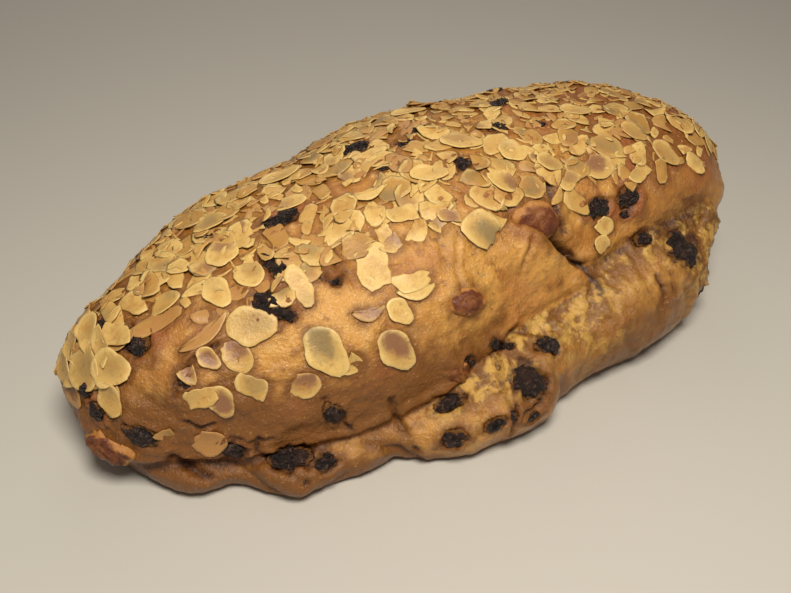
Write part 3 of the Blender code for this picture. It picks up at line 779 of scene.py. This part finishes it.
# ---------------------------------------------------------------------------
# Raisins and sultanas
# ---------------------------------------------------------------------------
def wrinkled_berry(berry, number, lift, wrinkle):
    """A berry folded into wrinkles, low enough that the dough laps over its ragged edge; sizes in mm."""
    bm = bmesh.new()
    bmesh.ops.create_icosphere(bm, subdivisions=4, radius=1.0)
    mesh = bpy.data.meshes.new(f"berry_{number}")
    bm.to_mesh(mesh)
    bm.free()
    unit = points_of(mesh)
    half = berry.half * np.array([1.02, 0.98, 0.95])
    lobes = 1.0 + 0.24 * grain(unit, 0.9, number + 50.0, 2)
    local = unit * lobes[:, None] * half
    folded = local * np.array([0.5, 1.0, 1.0])
    ridges = 1.0 - 2.0 * np.abs(grain(folded, 2.8, number + 70.0, 2))
    creases = 1.0 - 2.0 * np.abs(grain(folded, 1.3, number + 90.0, 2))
    local = local + unit * (wrinkle * (ridges - 0.6) + 0.4 * wrinkle * (creases - 0.6))[:, None]
    crust_level = berry.middle - berry.axes[2] * float(dough(berry.middle))
    centre = crust_level + berry.axes[2] * (lift - half[2])
    points = centre + local @ berry.axes
    points[:, 2] = np.maximum(points[:, 2], 0.0)
    place_points(mesh, points * MM)
    store(mesh, "film", "FLOAT", rise(unit[:, 2] + 0.3 * grain(unit, 0.7, number, 2), 0.85, 0.15))
    return mesh


def join_meshes(name, meshes, material):
    bm = bmesh.new()
    for mesh in meshes:
        bm.from_mesh(mesh)
        bpy.data.meshes.remove(mesh)
    joined = bpy.data.meshes.new(name)
    bm.to_mesh(joined)
    bm.free()
    return mesh_object(name, joined, material)


# ---------------------------------------------------------------------------
# Almond flakes
# ---------------------------------------------------------------------------
FLAKE_LENGTH = 18.0
FLAKE_WIDTH = 12.0
FLAKE_THICKNESS = 0.65
SHOWN_SHARE = 0.87        # of a slice's size in the tables, which leave it a little air
LARGE_SIDES = 30
SMALL_SIDES = 12

# Outlines of slices: how far the far end narrows, how far the plate bends along and cups across (in its
# thicknesses), and the breaks that cut it, as the break's direction in degrees and its distance.
SLICES = {
    "almond": (0.30, 0.9, 1.4, ()),
    "broad": (0.18, -0.8, 1.2, ((150.0, 0.80),)),
    "chip": (0.10, 0.6, 0.5, ((20.0, 0.25), (140.0, 0.35), (-110.0, 0.45))),
    "crescent": (0.16, 1.2, 1.4, ((95.0, 0.05),)),
    "curled": (0.24, 2.6, -1.0, ((75.0, 0.70),)),
    "cut_corner": (0.20, -1.0, 1.6, ((38.0, 0.42), (-160.0, 0.72))),
    "end_off": (0.28, 1.0, 1.8, ((6.0, 0.45),)),
    "half": (0.24, -1.2, 1.4, ((176.0, 0.12),)),
    "long": (0.12, 1.6, -0.8, ((-80.0, 0.72),)),
    "nibbled": (0.20, 1.0, 1.2, ((-35.0, 0.56), (150.0, 0.52))),
    "plate": (0.06, -0.6, 1.4, ((60.0, 0.58), (-120.0, 0.62), (172.0, 0.70), (-8.0, 0.72))),
    "shard": (0.05, 0.8, 0.6, ((60.0, 0.12), (-100.0, 0.30), (175.0, 0.6))),
    "side_off": (0.26, -1.2, 1.6, ((92.0, 0.38),)),
    "tilted": (0.34, 1.8, 1.0, ((120.0, 0.62),)),
}

# The flakes that lie by themselves or on top: station, lean, length, width, turn, outline, tone (0 cream,
# 1 tan), glaze (0 bare, 1 coated like the crust), the toasted spot's place and strength, and how ruddy it is.
FLAKES = (
    (-98, 46, 24, 17, 22, "almond", 0.45, 0.10, 0.1, 0.3, 0.45, 0.2),
    (-105, 27, 19, 12, 85, "almond", 0.15, 0.00, -0.7, 0.0, 0.30, 0.6),
    (-124, 18, 17, 11, 0, "broad", 0.55, 0.15, 0.6, 0.4, 0.50, 0.3),
    (-124, 68, 20, 14, -25, "plate", 0.40, 0.10, -0.4, 0.6, 0.30, 0.3),
    (-105, 68, 19, 14, 85, "nibbled", 0.50, 0.15, -0.1, 0.2, 0.55, 0.2),
    (-154, 62, 17, 12, 90, "almond", 0.50, 0.10, -0.6, 0.0, 0.40, 0.1),
    (-91, 24, 18, 14, 75, "broad", 0.10, 0.05, -0.1, 0.4, 0.45, 0.6),
    (-76, 38, 23, 11, 85, "long", 0.20, 0.05, 0.8, 0.0, 0.40, 0.5),
    (-46, 40, 29, 24, 75, "plate", 0.00, 0.00, 0.0, 0.0, 0.00, 0.5),
    (-34, 48, 21, 13, 10, "side_off", 0.00, 0.00, 0.0, 0.0, 0.00, 0.5),
    (-33, 10, 19, 13, 10, "crescent", 0.05, 0.00, 0.5, 0.6, 0.30, 0.5),
    (-25, 25, 18, 14, 60, "nibbled", 0.20, 0.10, -0.7, 0.0, 0.35, 0.5),
    (-55, -26, 24, 13, 0, "almond", 0.25, 0.05, 0.0, 0.0, 0.20, 0.3),
    (-75, 63, 27, 17, 68, "almond", 0.10, 0.00, -0.45, 0.1, 0.90, 0.0),
    (-48, 69, 24, 15, 62, "almond", 0.25, 0.05, -0.3, 0.15, 1.00, 1.0),
    (-86, 72, 15, 13, 0, "broad", 0.50, 0.30, 0.0, 0.3, 1.00, 1.0),
    (4, 41, 26, 17, 60, "end_off", 0.40, 0.00, 0.15, 0.1, 0.95, 0.0),
    (23, 25, 17, 14, 60, "broad", 0.10, 0.00, 0.5, 0.4, 0.85, 0.9),
    (19, 3, 23, 12, 33, "almond", 0.30, 0.10, -0.2, 0.5, 0.55, 0.6),
    (-5, 14, 20, 11, 24, "almond", 0.15, 0.05, 0.7, 0.3, 0.35, 0.5),
    (36, 15, 16, 12, 60, "almond", 0.25, 0.10, -0.6, 0.3, 0.40, 0.5),
    (74, 29, 20, 14, 10, "broad", 0.45, 0.15, -0.15, 0.3, 0.90, 0.7),
    (56, 31, 17, 11, 10, "nibbled", 0.30, 0.10, 0.0, 0.3, 0.60, 0.6),
    (94, 36, 19, 11, 14, "nibbled", 0.35, 0.05, -0.5, 0.2, 0.40, 0.2),
    (69, 52, 14, 10, 20, "broad", 0.20, 0.00, 0.0, 0.0, 0.00, 0.2),
    (84, 1, 19, 12, 22, "almond", 0.35, 0.10, 0.3, 0.2, 0.30, 0.4),
    (115, 31, 19, 13, 60, "almond", 0.60, 0.35, 0.0, 0.0, 0.40, 0.3),
    (-93, -18, 19, 13, 0, "broad", 0.50, 0.10, 0.0, 0.1, 0.70, 0.1),
    (-96, 8, 17, 13, 20, "almond", 0.10, 0.05, 0.1, 0.8, 0.75, 0.8),
)
# Further ones, laid before those above.
LOWER_FLAKES = (
    (83, 22, 22, 15, 30, "broad", 0.60, 0.45, 0.0, 0.1, 0.60, 0.3),
    (66, 60, 14, 9, 70, "end_off", 0.30, 0.10, 0.5, 0.3, 0.40, 0.3),
    (88, 12, 16, 9, 10, "half", 0.35, 0.20, 0.0, 0.0, 0.30, 0.4),
    (103, 19, 17, 11, 40, "almond", 0.55, 0.40, 0.0, 0.0, 0.40, 0.2),
    (-61, -3, 17, 12, 0, "broad", 0.20, 0.10, -0.4, 0.3, 0.50, 0.8),
    (-36, 31, 17, 11, 70, "plate", 0.15, 0.00, 0.4, 0.0, 0.30, 0.3),
    (-43, 57, 15, 10, 60, "almond", 0.05, 0.00, 0.0, 0.0, 0.00, 0.5),
    (-152, 41, 17, 13, 60, "nibbled", 0.45, 0.10, -0.5, 0.3, 0.35, 0.2),
    (-150, 25, 14, 7, 80, "long", 0.40, 0.05, 0.0, 0.0, 0.10, 0.2),
    (-124, 92, 17, 15, 0, "broad", 0.80, 0.85, 0.0, 0.0, 0.30, 0.6),
    (-117, 72, 17, 11, 80, "almond", 0.50, 0.30, 0.0, 0.0, 1.00, 1.0),
    (-55, 53, 16, 11, 10, "crescent", 0.70, 0.40, 0.0, -0.3, 1.00, 1.0),
    (-117, 53, 13, 8, 60, "almond", 0.60, 0.30, 0.0, 0.0, 1.00, 1.0),
    (-107, 55, 18, 13, 70, "broad", 0.50, 0.25, -0.4, 0.2, 1.00, 0.9),
    (15, -28, 22, 11, 0, "almond", 0.20, 0.05, 0.0, 0.2, 0.20, 0.5),
    (50, 23, 16, 10, 30, "almond", 0.40, 0.30, 0.0, 0.0, 0.50, 0.5),
    (35, 30, 16, 14, 0, "broad", 0.70, 0.40, 0.0, 0.0, 0.90, 0.1),
    (-34, 51, 20, 12, 10, "crescent", 0.15, 0.05, 0.0, 0.0, 0.10, 0.5),
    (-111, 36, 18, 8, 20, "long", 0.65, 0.80, 0.0, 0.0, 0.20, 0.6),
    (-143, 26, 18, 9, 10, "almond", 0.60, 0.60, 0.3, 0.2, 0.70, 0.8),
    (-68, 68, 14, 11, 30, "half", 0.40, 0.20, 0.0, 0.0, 0.20, 0.3),
    (-36, 33, 15, 12, 60, "half", 0.30, 0.40, 0.0, 0.3, 0.80, 0.7),
    (-14, 32, 14, 10, 70, "half", 0.25, 0.30, 0.0, 0.2, 0.70, 0.6),
    (-8, 32, 14, 10, 70, "nibbled", 0.55, 0.40, 0.0, 0.0, 0.80, 0.9),
    (-140, 84, 13, 10, 60, "half", 0.55, 0.60, 0.0, 0.0, 0.30, 0.5),
    (-129, 27, 27, 11, 5, "long", 0.75, 0.75, 0.5, 0.0, 0.20, 0.9),
    (-116, 41, 28, 12, -15, "crescent", 0.70, 0.70, 0.0, 0.0, 0.20, 0.9),
    (-126, 55, 15, 8, 80, "half", 0.60, 0.30, 0.0, 0.0, 0.90, 1.0),
    (-143, 21, 20, 13, 70, "tilted", 0.20, 0.45, 0.0, 0.0, 0.15, 0.0),
    (-166, -14, 23, 13, 110, "broad", 0.40, 0.00, 0.0, 0.0, 0.40, 0.0),
    (-165, 16, 19, 13, 60, "half", 0.40, 0.05, 0.0, 0.0, 0.40, 0.0),
    (-160, -12, 20, 12, 120, "cut_corner", 0.40, 0.05, 0.0, 0.0, 0.35, 0.0),
    (-153, -5, 19, 13, 115, "almond", 0.35, 0.00, 0.3, 0.0, 0.30, 0.0),
    (-153, 8, 20, 11, 105, "half", 0.35, 0.05, 0.0, 0.0, 0.30, 0.0),
    (-150, 22, 22, 11, 110, "tilted", 0.35, 0.00, 0.3, 0.3, 0.30, 0.0),
    (-154, 60, 24, 17, 80, "plate", 0.40, 0.00, 0.0, 0.2, 0.45, 0.0),
    (-150, 42, 22, 17, 45, "almond", 0.35, 0.00, 0.0, 0.2, 0.45, 0.0),
    (-159, 28, 26, 20, 80, "broad", 0.45, 0.00, 0.1, 0.1, 0.45, 0.1),
)


def slice_outline(name, sides):
    """Outline points of a slice about 2 long and 2 wide, its narrow end at +X."""
    taper, _, _, breaks = SLICES[name]
    chance = random.Random(len(name) * 7 + ord(name[0]))
    waves = [(k, chance.uniform(0.02, 0.11) / k ** 0.5, chance.uniform(0.0, math.tau)) for k in (2, 3, 5)]
    outline = []
    for step in range(sides):
        angle = math.tau * step / sides
        swing = 1.0 + chance.uniform(-0.03, 0.03)
        swing += sum(size * math.sin(k * angle + phase) for k, size, phase in waves)
        x, y = swing * math.cos(angle), swing * math.sin(angle)
        y *= 1.0 - taper * (x + 0.35 * x ** 3)
        for direction, distance in breaks:
            toward_x, toward_y = math.cos(math.radians(direction)), math.sin(math.radians(direction))
            past = x * toward_x + y * toward_y - distance
            if past > 0.0:
                jag = chance.uniform(-0.08, 0.08)
                x -= (past - jag) * toward_x
                y -= (past - jag) * toward_y
        outline.append((x, y))
    return outline


def warp(name, x, y):
    """How far a slice stands from flat, in its thicknesses."""
    _, bend, cup, _ = SLICES[name]
    ripple = 0.5 * math.sin(2.6 * x + len(name)) * math.cos(2.1 * y)
    return bend * x * x + cup * y * y + 0.7 * math.sin(1.7 * len(name)) * x * y + ripple


def slice_mesh(name, sides, rings):
    """A slice one unit long, wide and thick: a rim, inner rings and a middle on each face."""
    outline = slice_outline(name, sides)
    middle_x = sum(x for x, _ in outline) / sides
    middle_y = sum(y for _, y in outline) / sides
    bm = bmesh.new()
    layer = bm.verts.layers.float_vector.new("slice_place")

    def add(share, corner, z):
        x = middle_x + (corner[0] - middle_x) * share
        y = middle_y + (corner[1] - middle_y) * share
        vert = bm.verts.new((x * 0.5, y * 0.5, z + warp(name, x, y)))
        vert[layer] = (x, y, z)
        return vert

    bottom = [[add(share, corner, 0.0) for corner in outline] for share in rings]
    rim = [[add(1.0, corner, 0.5) for corner in outline]]
    top = [[add(share, corner, 1.0) for corner in outline] for share in rings[::-1]]
    levels = bottom + rim + top
    for low, high in zip(levels, levels[1:]):
        for k in range(sides):
            following = (k + 1) % sides
            bm.faces.new((low[k], low[following], high[following], high[k]))
    for ring, middle in ((top[-1], add(0.0, outline[0], 1.0)), (bottom[0], add(0.0, outline[0], 0.0))):
        for k in range(sides):
            bm.faces.new((ring[k], ring[(k + 1) % sides], middle))
    bmesh.ops.recalc_face_normals(bm, faces=bm.faces)
    mesh = bpy.data.meshes.new("slice_" + name)
    bm.to_mesh(mesh)
    bm.free()
    mesh.shade_smooth()
    return mesh


class Layers:
    """The crust and the flakes laid on it so far, for lowering the next flake onto them."""

    def __init__(self, ground):
        self.ground = ground
        self.laid = []

    def below(self, matrix, spots, reach):
        """Heights of what lies under each spot of a piece, in metres along its outward axis."""
        down = -matrix.col[2].xyz
        trees = [tree for tree, centre, size in self.laid if (centre - matrix.translation).length < reach + size]
        heights = []
        for x, y in spots:
            start = matrix @ Vector((x, y, 12.0 * MM))
            hits = [tree.ray_cast(start, down, 30.0 * MM)[3] for tree in [self.ground] + trees]
            heights.append(12.0 * MM - min((hit for hit in hits if hit is not None), default=14.0 * MM))
        return np.array(heights)

    def lay(self, mesh, matrix):
        bm = bmesh.new()
        bm.from_mesh(mesh)
        bm.transform(matrix)
        centre = sum((vert.co for vert in bm.verts), Vector()) / len(bm.verts)
        self.laid.append((BVHTree.FromBMesh(bm), centre, max((vert.co - centre).length for vert in bm.verts)))
        bm.free()


def frame_matrix(point, along, across, outward):
    return Matrix.Translation(point) @ Matrix((along, across, outward)).transposed().to_4x4()


def feeler_spots(name):
    outline = slice_outline(name, SMALL_SIDES)
    return [(x * share, y * share) for share in (0.55, 0.97) for x, y in outline] + [(0.0, 0.0)]


def bent_flake(row, layers):
    """A large flake, softened so that it follows what lies under it; returns its mesh."""
    station, lean, length, width, turn, name, tone, glaze, toast_x, toast_y, toast, ruddy = row
    matrix = frame_matrix(*place_on_crust(station, lean, turn))
    size = np.array([length * SHOWN_SHARE, width * SHOWN_SHARE, FLAKE_THICKNESS]) * MM
    spots = np.array(feeler_spots(name)) * size[:2] * 0.5
    terms = np.column_stack([np.ones(len(spots)), spots, spots[:, 0] ** 2, spots[:, 0] * spots[:, 1],
                             spots[:, 1] ** 2])
    below = layers.below(matrix, spots, length * MM)
    form = np.linalg.lstsq(terms, below, rcond=None)[0]
    form[3:] = np.clip(form[3:], -12.0, 4.0)
    form[0] += np.percentile(below - terms @ form, 85)
    mesh = slice_mesh(name, LARGE_SIDES, (0.45, 0.8, 0.965))
    points = points_of(mesh)
    x, y = points[:, 0] * size[0], points[:, 1] * size[1]
    terms = np.column_stack([np.ones(len(x)), x, y, x * x, x * y, y * y])
    sunk = 0.2 * MM + 0.25 * MM * glaze
    place_points(mesh, np.column_stack([x, y, terms @ form + points[:, 2] * size[2] * 0.8 - sunk]))
    layers.lay(mesh, matrix)
    mesh.transform(matrix)
    count = len(mesh.vertices)
    store(mesh, "toast", "FLOAT_VECTOR", np.tile([toast_x, toast_y, toast], (count, 1)))
    store(mesh, "finish", "FLOAT_VECTOR", np.tile([tone, glaze, ruddy], (count, 1)))
    return mesh


def small_flake(point, axes, name, size, sunk, layers, mesh):
    """The matrix of a small flake lowered onto the layers and tilted with them; size in metres."""
    matrix = frame_matrix(point, *axes)
    spots = np.array(feeler_spots(name)) * size[:2] * 0.5
    flat = np.array([warp(name, *spot) for spot in feeler_spots(name)]) * size[2]
    needed = layers.below(matrix, spots, size[0]) - flat
    terms = np.column_stack([np.ones(len(spots)), spots])
    level, slope_x, slope_y = np.linalg.lstsq(terms, needed, rcond=None)[0]
    slope_x, slope_y = np.clip([slope_x, slope_y], -0.7, 0.7)
    level = np.percentile(needed - spots @ np.array([slope_x, slope_y]), 76) - sunk
    along = Vector((1.0, 0.0, slope_x)).normalized()
    outward = along.cross(Vector((0.0, 1.0, slope_y))).normalized()
    tilt = frame_matrix(Vector((0.0, 0.0, level)), along, outward.cross(along), outward)
    placed = matrix @ tilt @ Matrix.Diagonal((*size, 1.0))
    layers.lay(mesh, placed)
    return placed


def flake_scatter(material):
    """Geometry Nodes: a slice on each point, sized in metres, realized and given its material."""
    tree = bpy.data.node_groups.new("scatter almond flakes", "GeometryNodeTree")
    face = tree.interface
    face.new_socket("Geometry", in_out="INPUT", socket_type="NodeSocketGeometry")
    face.new_socket("Slices", in_out="INPUT", socket_type="NodeSocketCollection")
    for name in ("Length", "Width", "Thickness"):
        face.new_socket(name, in_out="INPUT", socket_type="NodeSocketFloat")
    face.new_socket("Geometry", in_out="OUTPUT", socket_type="NodeSocketGeometry")
    given = tree.nodes.new("NodeGroupInput").outputs
    slices = add_node(tree, "GeometryNodeCollectionInfo", {"Collection": given["Slices"],
                                                           "Separate Children": True, "Reset Children": True})
    kind = add_node(tree, "GeometryNodeInputNamedAttribute", {"Name": "kind"}, data_type="INT")
    lay, share = (add_node(tree, "GeometryNodeInputNamedAttribute", {"Name": name}, data_type="FLOAT_VECTOR")
                  for name in ("lay", "share"))
    size = add_node(tree, "ShaderNodeCombineXYZ", {0: given["Length"], 1: given["Width"], 2: given["Thickness"]})
    scale = add_node(tree, "ShaderNodeVectorMath", {0: size, 1: share}, operation="MULTIPLY")
    placed = add_node(tree, "GeometryNodeInstanceOnPoints", {
        "Points": given["Geometry"], "Instance": slices, "Pick Instance": True, "Instance Index": kind,
        "Rotation": lay, "Scale": scale})
    real = add_node(tree, "GeometryNodeRealizeInstances", {"Geometry": placed})
    painted = add_node(tree, "GeometryNodeSetMaterial", {"Geometry": real, "Material": material})
    tree.links.new(painted, tree.nodes.new("NodeGroupOutput").inputs[0])
    return tree


def scattered_flakes(flakes, slices, material):
    """One plain mesh of the given flakes: (matrix, size, kind, toast, finish)."""
    mesh = bpy.data.meshes.new("flake_points")
    mesh.from_pydata([tuple(matrix.translation) for matrix, *_ in flakes], [], [])
    base = np.array([FLAKE_LENGTH, FLAKE_WIDTH, FLAKE_THICKNESS]) * MM
    store(mesh, "lay", "FLOAT_VECTOR", [matrix.to_3x3().normalized().to_euler() for matrix, *_ in flakes])
    store(mesh, "share", "FLOAT_VECTOR", [size / base for _, size, *_ in flakes])
    store(mesh, "toast", "FLOAT_VECTOR", [toast for *_, toast, _ in flakes])
    store(mesh, "finish", "FLOAT_VECTOR", [finish for *_, finish in flakes])
    kinds = mesh.attributes.new("kind", "INT", "POINT")
    kinds.data.foreach_set("value", [kind for _, _, kind, _, _ in flakes])
    points = mesh_object("flake_points", mesh)
    tree = flake_scatter(material)
    modifier = points.modifiers.new("Flakes", "NODES")
    modifier.node_group = tree
    values = {"Slices": slices, "Length": base[0], "Width": base[1], "Thickness": base[2]}
    for socket in tree.interface.items_tree:
        if socket.in_out == "INPUT" and socket.name in values:
            modifier[socket.identifier] = values[socket.name]
    graph = bpy.context.evaluated_depsgraph_get()
    plain = bpy.data.meshes.new_from_object(points.evaluated_get(graph))
    bpy.data.objects.remove(points)
    return plain


def flake_density(station, lean):
    """Share of the crust that small flakes cover, from 0 to 1."""
    crest = rise(lean, 44.0, 16.0)
    back = rise(lean, -115.0, -96.0)
    left_end = 0.4 * rise(station, -140.0, -150.0) * rise(lean, 60.0, 30.0)
    smooth_flank = 1.0 - 0.95 * rise(station, -152.0, -144.0) * rise(station, -104.0, -116.0) * rise(lean, 4.0, 16.0)
    crest = crest * smooth_flank
    bare_patch = 1.0 - 0.8 * swell(station, -25.0, 18.0) * swell(lean, 36.0, 14.0)
    bare_patch = bare_patch * (1.0 - 0.9 * swell(station, 32.0, 20.0) * swell(lean, 42.0, 12.0))
    blunt_end = rise(station, 168.0, 152.0)
    return np.maximum(crest * back * bare_patch, left_end) * blunt_end


def scatter_small(layers, meshes, clear_of):
    """Lays the small flakes of the crest, the back and the left end."""
    chance = random.Random(24)
    names = sorted(SLICES)
    mix = ["almond"] * 3 + ["broad"] * 2 + ["curled", "cut_corner", "tilted", "nibbled", "half", "crescent", "long",
                                            "end_off", "side_off", "cut_corner", "tilted", "nibbled"]
    shards = ["chip", "half", "crescent", "plate", "shard"]
    trials = np.array([(chance.uniform(-167.0, 167.0), chance.uniform(-114.0, 84.0), chance.random())
                       for _ in range(11000)])
    trials = trials[trials[:, 2] < flake_density(trials[:, 0], trials[:, 1])]
    places, outwards = places_on_crust(trials[:, 0], trials[:, 1])
    flakes = []
    taken = []
    for place, outward, (_, lean, draw) in zip(places, outwards, trials):
        if place[2] < 9.0:
            continue
        small = chance.random() < 0.28
        point = Vector(place) * MM
        spacing = (4.3 if small else 6.1) * MM
        if any((point - other).length < spacing for other in taken):
            continue
        if any((point - centre).length < reach for centre, reach in clear_of):
            continue
        taken.append(point)
        name = chance.choice(shards if small else mix)
        scale = chance.uniform(0.38, 0.62) if small else chance.uniform(0.70, 1.04)
        size = np.array([FLAKE_LENGTH * scale, FLAKE_WIDTH * scale * chance.uniform(0.85, 1.2),
                         FLAKE_THICKNESS * chance.uniform(0.8, 1.2)]) * MM
        glaze = chance.uniform(0.35, 1.0) if chance.random() < 0.30 else chance.uniform(0.0, 0.3)
        # Painted shade: flakes at the left end and on the back are made tanner.
        painted_shade_tone = 0.25 * rise(place[0], -110.0, -145.0) + 0.15 * rise(place[1], 0.0, 40.0)
        finish = (min(1.0, max(0.0, chance.gauss(0.36, 0.34) + painted_shade_tone)), glaze, chance.random())
        angle = chance.uniform(0.0, math.tau)
        toast = (0.5 * math.cos(angle), 0.5 * math.sin(angle), max(0.0, chance.uniform(-0.9, 0.8)))
        sunk = (0.25 + 0.5 * glaze) * MM
        axes = axes_at(outward, chance.uniform(0.0, 360.0))
        if draw > rise(lean, -110.0, -56.0):    # fewer towards the foot of the back
            continue
        matrix = small_flake(point, axes, name, size, sunk, layers, meshes[name])
        flakes.append((matrix, size, names.index(name), toast, finish))
    return flakes


def build():
    add_camera()
    add_studio()
    raisins = [cad_berry(node) for node in names_of("raisin")]
    sultanas = [cad_berry(node) for node in names_of("sultana")]
    sultanas[2].half = sultanas[2].half * np.array([1.2, 1.35, 1.1])
    raisins[20].half = raisins[20].half * np.array([1.0, 1.35, 1.0])
    peeping = [peeping_berry(*row) for row in PEEPING]
    berries = raisins + peeping + sultanas
    lapped = range(len(berries) - len(sultanas), len(berries))
    crust = mesh_object("crust", crust_mesh(berries, lapped), baked_crust())
    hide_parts("loaf")
    dark = join_meshes("raisins", [wrinkled_berry(berry, k, 2.3 if k < len(raisins) else 1.2, 1.2)
                                   for k, berry in enumerate(raisins + peeping)], raisin_skin())
    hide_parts(*names_of("raisin"))
    brown = join_meshes("sultanas", [wrinkled_berry(berry, k + 60, *form) for k, (berry, form)
                                     in enumerate(zip(sultanas, SULTANA_LIFTS))], glazed_fruit())
    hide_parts(*names_of("sultana"))

    almond = toasted_almond()
    slices = bpy.data.collections.new("slices")
    meshes = {name: slice_mesh(name, SMALL_SIDES, (0.86,)) for name in sorted(SLICES)}
    for name, mesh in meshes.items():
        slices.objects.link(bpy.data.objects.new("slice_" + name, mesh))
    bm = bmesh.new()
    bm.from_mesh(crust.data)
    bm.from_mesh(dark.data)
    layers = Layers(BVHTree.FromBMesh(bm))
    bm.free()
    clear_of = [(Vector(berry.middle) * MM, 0.8 * berry.half[0] * MM) for berry in raisins + sultanas]
    clear_of += [(place_on_crust(*row[:2])[0], 0.28 * row[2] * MM) for row in FLAKES + LOWER_FLAKES]
    small = scatter_small(layers, meshes, clear_of)
    print("small flakes", len(small))
    large = [bent_flake(row, layers) for row in LOWER_FLAKES + FLAKES]
    flakes = join_meshes("almond_flakes", large + [scattered_flakes(small, slices, almond)], almond)
    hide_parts(*names_of("almond_flake"))
    shade_and_brown_between(crust.data, [flakes.data])
    for piece, slot in ((crust, "crust"), (dark, "raisin"), (brown, "sultana"), (flakes, "almond")):
        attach(piece, "root")
    for thing in list(slices.objects):
        bpy.data.objects.remove(thing)
    bpy.data.collections.remove(slices)


build()
